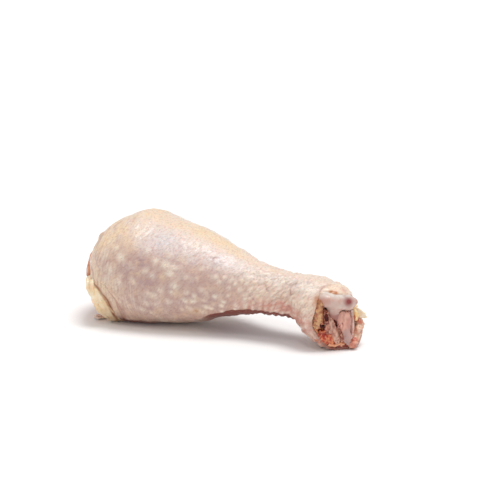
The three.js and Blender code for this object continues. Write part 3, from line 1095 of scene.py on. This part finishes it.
@dataclass
class LegMeat:
    """The meat in the skin: it swells out bare past the skin at the knee and closes the hock opening."""

    form: LegForm
    around: int = 160
    rings: int = 120
    floor_rings: int = 26
    bare_share: float = 0.25
    under_skin: float = 1.8
    swell: float = 1.1
    seat: float = 3.4
    recess: float = 1.2
    bone_height: float = 20.4
    bone_half: float = 9.6
    dent_depth: float = 2.4

    def rings_along(self) -> Array:
        """The rings of the smooth meat, from the bare end at the knee to the floor of the opening."""
        turn, first = turns(self.around)[None, :], self.bare_share
        knee, hock = self.form.knee_rim(turn), self.form.hock_rim(turn) - self.recess
        share = np.linspace(0, 1, self.rings + 1)[:, None]
        inside = ring_runs(np.clip((share - first) / (1 - first), 0, 1), knee, hock)
        run = np.where(share < first, mix(1.2 - self.form.arc, knee, share / first), inside)
        bare = mix(-self.swell, self.seat, self.form.under_lip(turn) * rise(run, -18, 8))
        inset = mix(self.under_skin, bare, rise(run, knee - 0.9, -2.4))
        walls = self.form.skin_point(run, turn, inset)
        hub = walls[-1].mean(0)
        closing = np.linspace(1, 0.04, self.floor_rings)[1:, None, None]
        return np.concatenate([walls, hub + (walls[-1] - hub) * closing])

    def build(self) -> Piece:
        """Makes the meat with its fibres, the dent round the bone and the uneven floor of the opening."""
        piece = make_piece("leg_meat", *shell(self.rings_along()))
        places, _ = points_of(piece)
        grain = Grain(21)
        fibres = grain.read(places + 4 * grain.read(places, 9)[:, None], (7, 0.9, 0.9))
        x, y, z = places.T
        off_bone = np.hypot(y, 1.2 * (z - self.bone_height))
        dent = rise(off_bone, self.bone_half, -3) * rise(x, -56, -3)
        sunk = self.dent_depth * dent * (1 + 0.9 * rise(off_bone, 6.5, -3))
        raise_surface(piece, 0.22 * fibres + 0.4 * grain.layered(places, 3.5) - sunk)
        # the floor of the hock opening is painted dark red, for blood and the painted shade of its recess;
        # the dent round the bone's head takes half as much
        paint(piece, tint=np.maximum(0.9 * rise(x, 42, 5), 0.5 * dent))
        return piece


@dataclass(frozen=True)
class Strand:
    """A length of tissue through rows of x, y, z, half width and half height."""

    rows: Rows
    side: Triple  # the way of its width
    around: int = 36
    steps: int = 56

    def rings(self) -> Array:
        """Rings of points round the strand, rounded off at both ends."""
        rows = np.array(self.rows, float)
        length = np.concatenate([[0], np.cumsum(np.linalg.norm(np.diff(rows[:, :3], axis=0), axis=1))])
        u = (1 + np.sin(np.linspace(-0.5, 0.5, self.steps + 1) * np.pi)) / 2
        at = u * length[-1]
        middle = np.stack([through(length, rows[:, k], at) for k in range(3)], -1)
        wide, tall = (through(length, rows[:, k], at) for k in (3, 4))
        ahead = unit(np.gradient(middle, axis=0))
        side = np.asarray(self.side, float)
        across = unit(side - ahead * (ahead @ side)[:, None])
        up = np.cross(ahead, across)
        depth = np.minimum(1, np.minimum(u, 1 - u) * length[-1] / np.minimum(wide, tall) + 0.04)
        rounded = np.sqrt(1 - (1 - depth) ** 2)
        turn = turns(self.around)
        out = across[:, None] * (np.cos(turn) * (wide * rounded)[:, None])[..., None]
        lift = up[:, None] * (np.sin(turn) * (tall * rounded)[:, None])[..., None]
        return middle[:, None] + out + lift


@dataclass(frozen=True)
class Egg:
    """An egg whose axle lies level, turned away from Y, and dips at its far end."""

    at: Triple
    half: Triple  # along the axle, level across it, and upright
    turn: float = 0.0
    dip: float = 0.0
    out: float = 0.0
    power: float = 1.0
    rings_count: int = 20
    around: int = 32

    def rings(self) -> Array:
        """Rings of points round the egg."""
        turn, dip = math.radians(self.turn), math.radians(self.dip)
        level = np.array([math.sin(turn), math.cos(turn), 0])
        ahead = np.array([math.cos(turn), -math.sin(turn), 0])
        axle = level * math.cos(dip) - np.array([0, 0, math.sin(dip)])
        up = np.cross(ahead, axle)
        lat = np.linspace(-0.97, 0.97, self.rings_count) * np.pi / 2
        wide = np.cos(lat) ** (1 / self.power)
        far = np.sign(np.sin(lat)) * np.abs(np.sin(lat)) ** (1 / self.power)
        along, deep, tall = self.half
        t = turns(self.around)
        middle = np.array(self.at) + axle * self.out
        return (
            middle
            + (axle * (far * along)[:, None])[:, None]
            + ahead * (wide[:, None] * np.cos(t) * deep)[..., None]
            + up * (wide[:, None] * np.sin(t) * tall)[..., None]
        )


@dataclass
class KneeLip:
    """The roll of skin and fat turned out along the lower near knee rim, and the scrap under it."""

    form: LegForm
    turns_at: Row = (179, 185, 192, 200, 212, 220, 228, 236, 247)
    past: Row = (4.0, 4.2, 3.9, 4.0, 3.3, 2.7, 2.3, 1.9, 1.5)
    thick: Row = (1.5, 2.6, 2.8, 3.0, 2.6, 2.1, 1.8, 1.4, 1.1)
    rolls: Rows = ((0, 1, 179, 247), (2.2, 0.32, 186, 242), (3.4, 0.2, 190, 245))  # as roll() takes them
    inset: float = 0.1
    ridges: int = 4
    ridge_height: float = 0.17
    seam_end: float = 252.0
    scrap: Egg = Egg((-52.4, -14.8, 0.9), (2.7, 2.4, 0.8), 24, 6)

    def roll(self, nearness: float, share: float, first: float, last: float) -> Array:
        """Makes one roll that follows the rim.

        Args:
            nearness: how far it lies from the main roll towards the skin, in millimetres.
            share: its thickness as a share of the main roll's.
            first: turn where it begins, in degrees.
            last: turn where it ends.

        Returns:
            Its rings.
        """
        around = np.linspace(first, last, 13)
        turn = np.radians(around)
        half = share * through(self.turns_at, self.thick, around)
        past = through(self.turns_at, self.past, around) - nearness
        middle = self.form.point(self.form.knee_rim(turn) - past, turn, self.inset)
        middle[:, 2] = np.maximum(middle[:, 2], half + 0.1)
        rings = Strand(rows_along(middle, half), (-1, 0, 0.4), around=64, steps=110).rings()
        core = rings.mean(1, keepdims=True)
        along, round_it = np.linspace(0, 1, rings.shape[0])[:, None], turns(rings.shape[1])
        ridge = np.sin(self.ridges * round_it + 1.5 * np.sin(7 * along) + 3 * along)
        ridge = ridge + 0.6 * np.sin((2 * self.ridges + 1) * round_it + 4 * np.sin(4 * along) + 2)
        return core + (rings - core) * (1 + self.ridge_height * ridge)[..., None]

    def build(self) -> tuple[Piece, Piece]:
        """Makes the lip of a main roll and two thin folds, and the scrap of flesh on the floor."""
        lip = fuse("lip_of_fat", [self.roll(*row) for row in self.rolls], 0.28, 2)
        places, _ = points_of(lip)
        grain = Grain(31)
        relief = grain.layered(places, 3, 2)
        raise_surface(lip, 0.3 * relief + 0.12 * grain.read(places, 1.0))
        turn = np.radians(np.linspace(self.turns_at[0], self.seam_end, 90))
        edge = self.form.point(self.form.knee_rim(turn), turn, 0.3)
        away = np.linalg.norm(places[:, None] - edge, axis=2).min(1) + 0.35 * grain.read(places, 2.0)
        # painted shade: dark red-brown along the crease at the skin's edge, stronger low down
        blood = ease(1.7 - away / 0.75) * (0.6 + 0.4 * rise(places[:, 2], 12, -8))
        # painted shade: the hollows of the relief and the lower part of the roll take the darker tint
        paint(lip, blood=blood, tint=np.maximum(0.4 * ease(-0.6 * relief), 0.5 * rise(places[:, 2], 11, -9)))
        scrap = make_piece("flesh_scrap", *shell(self.scrap.rings()))
        places, _ = points_of(scrap)
        raise_surface(scrap, 0.35 * grain.layered(places + 9, 1.8))
        return lip, scrap


# ---------- bone ----------


@dataclass
class ShinBone:
    """The shin bone, from its knee head through the meat to the cartilage cap of the hock joint."""

    at: Row = (-63.2, -61.2, -57, -51, -42, -15, 20, 40, 50, 55)
    side: Row = (0, 0, 0, 0, 0, 0, 0, -0.4, -1.0, -1.4)
    height: Row = (20.4, 20.4, 20.4, 20.6, 21.0, 21.6, 21.0, 20.4, 19.6, 19.4)
    across: Row = (5.2, 8.6, 9.6, 8.2, 5.2, 3.9, 3.6, 4.2, 5.0, 3.4)
    tall: Row = (4.2, 6.6, 7.6, 7.0, 5.0, 3.8, 3.6, 3.9, 4.0, 3.2)
    hock: Triple = (55.2, -1.5, 19.8)
    hock_turn: float = 37.0
    hock_dip: float = 11.0
    neck: Egg = Egg((54.2, -4.1, 15.4), (2.4, 1.9, 3.8), 37, -32)
    bruise_at: Triple = (59.7, -1.5, 20.9)
    far_tip: Triple = (59.3, 4.6, 18.9)
    # painted light and shade: above this height, which rises towards the near side, the cap stays milky;
    # below it, it turns pinker
    milky_lit_from: float = 23.1
    milky_lit_slope: float = 0.19
    neck_top: float = 16.7
    groove_depth: float = 0.9
    voxel: float = 0.32

    def heads(self) -> list[Array]:
        """The near condyle, the saddle and its underside, the far condyle and its tip, and the neck."""
        sizes = (
            (-4.8, 0.6, (4.5, 4.1, 3.3), 1.1),
            (-1.2, 0.1, (6.2, 4.3, 3.8), 1.1),
            (-1.9, -1.5, (3.0, 3.3, 3.1), 1.0),
            (3.0, 0.2, (4.6, 3.9, 3.5), 1.0),
            (5.8, 0.7, (2.9, 2.3, 2.0), 1.0),
        )
        (x, y, z), lean = self.hock, (self.hock_turn, self.hock_dip)
        eggs = [Egg((x, y, z + lift), half, *lean, out, power) for out, lift, half, power in sizes]
        return [egg.rings() for egg in (*eggs, self.neck)]

    def groove(self, piece: Piece) -> None:
        """Presses the shallow groove between the two faces of the knee head."""
        places, _ = points_of(piece)
        end = rise(places[:, 0], -57, -3)
        places[:, 0] += self.groove_depth * end * bump(places[:, 1], 0.6, 2.0)
        put_points(piece, places)

    def build(self) -> Piece:
        """Makes the bone as one piece, and paints where it turns pinker, partly as painted shade lower down,
        and where it is bruised.
        """
        x = mix(self.at[0], self.at[-1], np.linspace(0, 1, 90) ** 1.2)[:, None]
        turn = turns(40)
        y, z, wide, tall = (through(self.at, v, x) for v in (self.side, self.height, self.across, self.tall))
        shaft = np.stack(np.broadcast_arrays(x, y + wide * np.cos(turn), z + tall * np.sin(turn)), -1)
        piece = fuse("shin_bone", [shaft, *self.heads()], self.voxel, 20)
        places, _ = points_of(piece)
        grain = Grain(51)
        raise_surface(piece, 0.2 * grain.layered(places, 4.5, 2) + 0.1 * grain.read(places, 1.2))
        self.groove(piece)
        places, _ = points_of(piece)
        _, y, z = places.T
        bruise = 1.15 * bump(distance(places, self.bruise_at) + 0.5 * grain.read(places, 1.8), 0, 2.0)
        # painted light and shade: milky above this height and pinker below it; the near side, the far tip and
        # the clouds add more pink
        top = self.milky_lit_from + self.milky_lit_slope * (self.hock[1] - y)
        pink = 0.46 * rise(z, top, -2.2) + 0.22 * rise(y, -3, -6) + 0.4 * rise(y, -8.2, -2.2)
        pink += 0.8 * ease(1.25 - distance(places, self.far_tip) / 4) + 0.12 * grain.read(places + 20, 3)
        neck = ease((self.neck_top - z + 0.4 * grain.read(places, 2)) / 1.8)
        paint(piece, bruise=np.clip(bruise, 0, 1), pink=np.clip(pink, 0, 1), neck=neck)
        return piece


# ---------- cut ends in the hock opening ----------


@dataclass(frozen=True)
class CutEnd:
    """One piece of tissue in the hock opening: a strand with lobes grown on it, fused and roughened."""

    name: str
    slot: Slot
    side: Triple
    rows: Rows
    finish: WetTissue
    lobes: int
    lobe: float
    lumps: float
    seed: int
    # how much of the dark red of pooled blood and painted shade the piece takes
    bloody: float = 0.7
    fibres: Triple = (1, 1, 1)
    stains: Rows = ()  # x, y, z and reach of each place that takes the finish's tint
    replaces: bool = True
    voxel: float = 0.2
    rounds: int = 1

    FACE = (1.0, -0.4167, 0.0)
    RIM = 53.1

    def shells(self) -> list[Array]:
        """The strand and its lobes, which sit on its surface wherever the seed puts them."""
        rings = Strand(self.rows, self.side).rings()
        draw = np.random.default_rng(self.seed)
        found = [rings]
        for _ in range(self.lobes):
            ring = rings[draw.integers(3, len(rings) - 3)]
            at = mix(ring.mean(0), ring[draw.integers(len(ring))], draw.uniform(0.6, 1.15))
            half = tuple(self.lobe * draw.uniform(0.55, 1.25, 3))
            egg = Egg(tuple(at), half, draw.uniform(0, 180), draw.uniform(-60, 60), rings_count=10, around=14)
            found.append(egg.rings())
        return found

    def build(self) -> None:
        """Makes the piece, paints its stains and the dark red of pooled blood and painted shade in its depths
        and hollows, and dresses it.
        """
        piece = fuse(self.name + "_tissue", self.shells(), self.voxel, self.rounds)
        places, _ = points_of(piece)
        grain = Grain(self.seed)
        size = tuple(1.1 * way for way in self.fibres)
        relief = grain.read(places, size) + 0.5 * grain.read(places + 30, tuple(0.5 * way for way in size))
        raise_surface(piece, self.lumps * relief)
        off_rim = places @ np.array(self.FACE) - self.RIM
        # painted shade: the hollows of the relief and the parts deep behind the rim go dark red, with the
        # blood that pools there
        hollow = ease(-1.6 * relief - 0.3)
        blood = ease((1.0 - off_rim + 1.2 * grain.read(places + 60, 1.6)) / 2.6) + 0.6 * hollow
        tint, ragged = np.zeros(len(places)), 0.6 * grain.read(places + 90, 1.2)
        for *at, reach in self.stains:
            tint = np.maximum(tint, ease(1.5 - (distance(places, at) + ragged) / reach))
        paint(piece, blood=np.clip(blood, 0, 1) * self.bloody, tint=tint)
        lay_in(piece, self.finish.material(), self.slot, *([self.name] if self.replaces else []))


def crumbs(
    name: str, side: Triple, tables: tuple[Rows, ...], seed: int, first: int = 0, **look: Any
) -> list[CutEnd]:
    """Small pieces of one look that stand for no CAD node, each with rows and a seed of its own."""
    return [
        CutEnd(f"{name}_{k}", Slot.RED_TISSUE, side, rows, seed=seed + k, replaces=False, **look)
        for k, rows in enumerate(tables, first)
    ]


TENDONS = (
    CutEnd(
        "tendon_front", Slot.TENDON, (0.8, 0.6, 0),
        ((56.9, -1.9, 16, 2.7, 1.3), (57.6, -1.8, 11.9, 3, 1.6), (58.5, -1.5, 8.1, 1.8, 1.5),
         (58.9, -1.2, 5.1, 1.6, 1.4), (58.8, -1, 2.8, 1.4, 1.2)),
        WetTissue("pink_tendon", "deaa97", "c2887b", "9c4c40", 1.8, 0.9, 0.3, (1, 1, 2.5), tint="b8968f"),
        lobes=14, lobe=0.9, lumps=0.22, seed=61, bloody=0.4, fibres=(1, 1, 3),
        stains=((58.9, -1.8, 7.4, 1.8), (59.2, -1.6, 5, 2.2), (59, -1.2, 3.2, 1.8)),
    ),
    CutEnd(
        "tendon_near", Slot.TENDON, (0.8, 0.6, 0),
        ((51.3, -5.2, 16.8, 1.4, 1.2), (52.6, -5.6, 13.8, 1.6, 1.4), (54.5, -4.9, 8.2, 1.7, 1.5),
         (56, -3.6, 3, 1.4, 1.2)),
        WetTissue("grey_tendon", "d8ac98", "b07c6a", "8a4438", 1.4, 0.7, 0.35, (1, 1, 2.5)),
        lobes=22, lobe=0.75, lumps=0.26, seed=62, bloody=0.5, fibres=(1, 1, 3),
    ),
    CutEnd(
        "membrane", Slot.MEMBRANE, (0.5, 0.86, 0),
        ((57.8, 3.3, 16.4, 1.1, 1.4), (58.3, 3.2, 9.6, 1.2, 2), (58.8, 2.3, 4, 1, 1.6)),
        WetTissue("pale_membrane", "dabaae", "c4988a", "b06a5e", 1.6, 0.9, 0.2),
        lobes=8, lobe=0.6, lumps=0.12, seed=63, bloody=0.4, fibres=(1, 1, 2),
    ),
)
FATS = (
    CutEnd(
        "fat_near", Slot.FAT, (0.3, 0.95, 0),
        ((50.4, -8.7, 21.4, 1, 1), (50.3, -9.1, 17.8, 1.7, 1.5), (50.2, -9.4, 13.6, 2, 1.6),
         (49.6, -9.2, 9.6, 1.8, 1.5)),
        WetTissue("brown_fat", "d2a272", "a86244", "7c3424", 1.6, 1.1, 0.35, tint="9c5a36"),
        lobes=30, lobe=0.8, lumps=0.3, seed=64, bloody=0.45,
        stains=((50.2, -8.6, 21.2, 1.8), (50.6, -8.4, 18.6, 1.8), (50.6, -9.4, 17.4, 1.2),
                (51.4, -7.6, 15.4, 1.4), (51.2, -8.4, 12.4, 0.9)),
    ),
    CutEnd(
        "fat_low", Slot.FAT, (0.4, 0.9, 0),
        ((51, -6.4, 3.4, 1.1, 0.8), (53.3, -4.2, 2.6, 1.5, 1), (56.4, -1.4, 2.3, 1.3, 0.9),
         (58.2, 0.8, 2.2, 0.9, 0.6)),
        WetTissue("orange_fat", "f4b48c", "d67c54", "a43c28", 1.6, 1.1, 0.35),
        lobes=26, lobe=0.75, lumps=0.3, seed=65,
    ),
    CutEnd(
        "fat_far", Slot.FAT, (0.86, 0.5, 0),
        ((57.6, 6, 16.8, 1.3, 1.4), (58.3, 6.4, 14, 1.7, 1.7), (58.8, 6, 10.9, 1.5, 1.4)),
        WetTissue("yellow_fat", "fce2b2", "f2c88e", "d4925c", 1.8, 0.8, 0.25, tint="cc7c52"),
        lobes=14, lobe=0.8, lumps=0.2, seed=66, bloody=0.3,
        stains=((59.4, 6.2, 11, 1.5), (59, 4.6, 12, 1)),
    ),
)
FOLDS = (
    CutEnd(
        "tissue_red", Slot.RED_TISSUE, (0.3, 0.5, 0.8),
        ((49.4, -8.6, 8.2, 1.8, 1.4), (51.1, -7.2, 6.4, 2.6, 1.9), (53.2, -5.4, 5, 2, 1.6),
         (54.4, -4, 4, 1.4, 1.2)),
        WetTissue("bloody_tissue", "de8a5c", "c04a32", "a41c14", 1.1, 0.8, 0.6, tint="c02018"),
        lobes=44, lobe=0.85, lumps=0.36, seed=67, bloody=0.8,
        stains=((52.5, -8.8, 7.2, 0.7), (53.2, -7.4, 6.7, 0.6), (53.8, -6.4, 5.4, 0.7),
                (50.8, -10.4, 9.6, 0.6), (51.6, -9.8, 9.3, 0.5)),
    ),
    CutEnd(
        "fold_far", Slot.SKIN_FOLD, (0.9, 0.4, 0),
        ((58.4, 7.8, 11.6, 1.7, 1.7), (59.6, 7.7, 8.6, 2.3, 2), (59.6, 5.2, 5.6, 2.2, 2),
         (59.7, 3.2, 3.6, 2, 1.7), (60, 1.6, 2.4, 1.7, 1.3), (60.2, -0.2, 1.7, 1.3, 1)),
        WetTissue("folded_skin", "e2bfa6", "c98f76", "b8604a", 2.6, 1, 0.2, roughness=0.35, tint="c6705a"),
        lobes=7, lobe=1.5, lumps=0.42, seed=68, bloody=0.25, fibres=(3, 3, 1), rounds=6,
        stains=((60.6, 1.4, 4, 1.6), (60.6, 0.4, 2.4, 1.6), (61.4, 3.4, 2.2, 1.5), (60.4, 6.6, 10.6, 1.1)),
    ),
    CutEnd(
        "tag", Slot.SKIN_TAG, (0.5, 0, 0.85),
        ((58.4, 5.6, 15.8, 1.3, 0.5), (59.8, 6.8, 13.9, 1.9, 0.5), (61.1, 8, 12.6, 1.5, 0.45),
         (62.4, 9.5, 11.4, 0.35, 0.3)),
        WetTissue("skin_tag", "f2e2c8", "e8cfab", "cf9d68", 2, 0.9, 0.2, coat=0.2),
        lobes=4, lobe=0.35, lumps=0.12, seed=69, bloody=0, fibres=(2, 1, 1), rounds=4,
    ),
)
CLOTS = crumbs(
    "clot", (0.3, 0.9, 0),
    (
        ((52.6, -8.4, 15.9, 0.6, 0.6), (53.2, -8.2, 14.6, 0.8, 0.7), (53.4, -8, 13.4, 0.5, 0.5)),
        ((51, -10.2, 11.6, 0.5, 0.5), (51.9, -9.6, 11, 0.7, 0.5), (52.8, -9, 10.7, 0.5, 0.4)),
        ((54.5, -4.1, 13.4, 0.5, 0.5), (54.9, -3.8, 11.8, 0.8, 0.5), (55.2, -3.4, 10.1, 0.6, 0.5)),
        ((55.8, -2.7, 9.9, 0.5, 0.5), (56.3, -1.8, 8.1, 0.7, 0.5), (56.3, -1.6, 5.5, 0.5, 0.5),
         (56.2, -1.4, 3, 0.4, 0.5)),
    ),
    finish=WetTissue(
        "clotted_blood", "561008", "3a0a06", "7c2018", 1.2, 0.6, 0.3, roughness=0.4, ior=1.34, coat=0.0
    ),
    lobes=7, lobe=0.5, lumps=0.1, seed=91, bloody=0,
)
LOOSE = crumbs(
    "loose", (0.8, 0.6, 0),
    (
        ((52, -7.4, 17, 1, 0.9), (52.6, -7.4, 13, 1.2, 1), (53, -7, 9.6, 1.2, 1),
         (53.4, -6.4, 7.2, 0.9, 0.9)),
        ((55.2, -2.6, 12, 0.9, 1), (56.2, -2.6, 8, 1.1, 1), (57.2, -2.2, 4, 1, 1)),
        ((57.2, 0.8, 15.4, 1.2, 1.2), (57.8, 0.9, 10, 1.4, 1.3), (58.2, 0.6, 4.4, 1.2, 1.2)),
        ((57, 6.6, 16.6, 0.9, 0.9), (57, 8.4, 13.6, 1.3, 1.4), (57.2, 8.8, 10, 1.4, 1.5),
         (57.6, 8.2, 5.6, 1.2, 1.4)),
    ),
    finish=WetTissue("loose_tissue", "c8927a", "9c5646", "7c2c20", 1.2, 0.7, 0.5),
    lobes=22, lobe=0.7, lumps=0.3, seed=75,
)


@dataclass(frozen=True)
class HockOpening:
    """The cut tendons, fat, red tissue and folds that fill the open end round the hock joint."""

    form: LegForm
    ends: tuple[CutEnd, ...] = (*TENDONS, *FATS, *FOLDS, *CLOTS, *LOOSE)

    def lining(self) -> list[CutEnd]:
        """The torn lining of the rim: its near side, its underside, stained dark red where it is low, partly
        as blood and partly as painted shade by the floor, and its top.
        """
        band = WetTissue("torn_lining", "cc8a62", "a85c3c", "84341f", 1.8, 0.8, 0.4, tint="8e3a2c")
        edge = WetTissue("pale_lining", "e2c4b2", "c99a86", "b06a5e", 1.8, 0.8, 0.2)
        found = []
        for first, last, half, finish in ((112, 192, 1.2, band), (186, 286, 0.8, band), (28, 100, 0.8, edge)):
            turn, thick = np.radians(np.linspace(first, last, 12)), np.full(12, half)
            middle = self.form.skin_point(self.form.hock_rim(turn) - 0.1, turn, 0.9 + thick)
            stains = tuple((*point, 2.4) for point in middle[4:]) if last > 270 else ()
            found += crumbs(
                "lining", (1, 0, 0), (rows_along(middle, thick),), 81, len(found), finish=finish,
                lobes=24, lobe=0.6, lumps=0.16, bloody=0.2, stains=stains,
            )
        return found

    def build(self) -> None:
        """Makes every piece."""
        for end in (*self.ends, *self.lining()):
            end.build()


# ---------- floor, light and camera ----------


@dataclass(frozen=True)
class Studio:
    """A plain white floor under soft light from above, and the camera."""

    aim: Triple = (12.7, 0.0, 35.65)
    azimuth: float = 30.0
    elevation: float = 15.0
    distance: float = 900.0
    lens: float = 156.8
    sensor: float = 36.0
    clip: tuple[float, float] = (0.01, 20.0)
    floor_half: float = 3000.0
    floor_colour: str = "f6f6f6"
    sky_colour: str = "ffffff"
    sky: float = 0.66
    key: float = 1.66
    key_from: Triple = (0.18, 0.06, 1.0)
    key_width: float = 28.0
    glint: float = 0.25
    glint_from: Triple = (0.05, -0.5, 1.0)
    glint_width: float = 12.0

    def light(self, name: str, energy: float, source: Triple, width: float) -> None:
        """Adds a distant light that comes from the way of source, width degrees across."""
        sun = bpy.data.lights.new(name, "SUN")
        sun.energy = energy
        sun.angle = math.radians(width)
        lamp = bpy.data.objects.new(name, sun)
        lamp.rotation_mode = "QUATERNION"
        lamp.rotation_quaternion = Vector(source).to_track_quat("Z", "Y")
        bpy.context.scene.collection.objects.link(lamp)

    def set_floor(self) -> None:
        """Lays the floor under the piece."""
        half = self.floor_half
        corners = np.array([(-half, -half, 0), (half, -half, 0), (half, half, 0), (-half, half, 0)], float)
        floor = make_piece("floor", corners, [[0, 1, 2, 3]])
        s = Shader("white_board")
        surface = {"Roughness": 0.75, "IOR": 1.45}
        floor.data.materials.append(s.finish(linear(self.floor_colour), s.noise(2.0), 0.0, surface))

    def set_sky(self) -> None:
        """Puts plain light all round."""
        world = bpy.data.worlds.new("soft_white")
        world.use_nodes = True
        background = world.node_tree.nodes["Background"]
        background.inputs["Color"].default_value = linear(self.sky_colour)
        background.inputs["Strength"].default_value = self.sky
        bpy.context.scene.world = world

    def set_camera(self) -> None:
        """Puts the camera where the view is taken from."""
        a, e = math.radians(self.azimuth), math.radians(self.elevation)
        back = Vector((math.sin(a) * math.cos(e), -math.cos(a) * math.cos(e), math.sin(e)))
        data = bpy.data.cameras.new("camera")
        data.sensor_width = self.sensor
        data.lens = self.lens
        data.clip_start, data.clip_end = self.clip
        camera = bpy.data.objects.new("camera", data)
        camera.location = (Vector(self.aim) + back * self.distance) * MM
        camera.rotation_mode = "QUATERNION"
        camera.rotation_quaternion = (-back).to_track_quat("-Z", "Y")
        bpy.context.scene.collection.objects.link(camera)
        bpy.context.scene.camera = camera

    def set_up(self) -> None:
        """Makes the floor, the lights and the camera."""
        self.set_floor()
        self.set_sky()
        self.light("overhead_key", self.key, self.key_from, self.key_width)
        self.light("glint", self.glint, self.glint_from, self.glint_width)
        self.set_camera()
        view = bpy.context.scene.view_settings
        view.view_transform = "Standard"
        view.look = "None"
        view.exposure = 0.0
        view.gamma = 1.0


def main() -> None:
    """Builds and dresses the drumstick from the outside in, then lights it."""
    logging.basicConfig(level=logging.INFO, format="%(name)s: %(message)s")
    form = LegForm()
    lay_in(SkinSleeve(form).build(), BroilerSkin().material(), Slot.SKIN, "skin")
    # tint: the dark red of blood and painted shade on the floor of the hock opening
    meat = WetTissue("raw_dark_meat", "da9a74", "b66c4e", "e0b088", 4.0, 1.2, 0.25, (3, 1, 1), tint="8a3a2c")
    lay_in(LegMeat(form).build(), meat.material(), Slot.FLESH, "meat")
    lay_in(ShinBone().build(), JointCartilage().material(), Slot.CARTILAGE, "bone")
    lip, scrap = KneeLip(form).build()
    # the darker colours of the rolled fat are painted shade: in its hollows, low on the roll and in the
    # crease at the skin
    fat = WetTissue(
        "rolled_fat", "f6e4c6", "ecd0a8", "dca878", 3.0, 1.2, 0.15,
        roughness=0.38, coat=0.2, tint="b8946e", blood="96502c",
    )
    lay_in(lip, fat.material(), Slot.LIP_FAT, "knee_lip")
    flesh = WetTissue("brown_scrap", "f0dccf", "d8b8a6", "b08068", 2.0)
    lay_in(scrap, flesh.material(), Slot.SCRAP, "scrap")
    HockOpening(form).build()
    Studio().set_up()


if __name__ == "__main__":
    main()
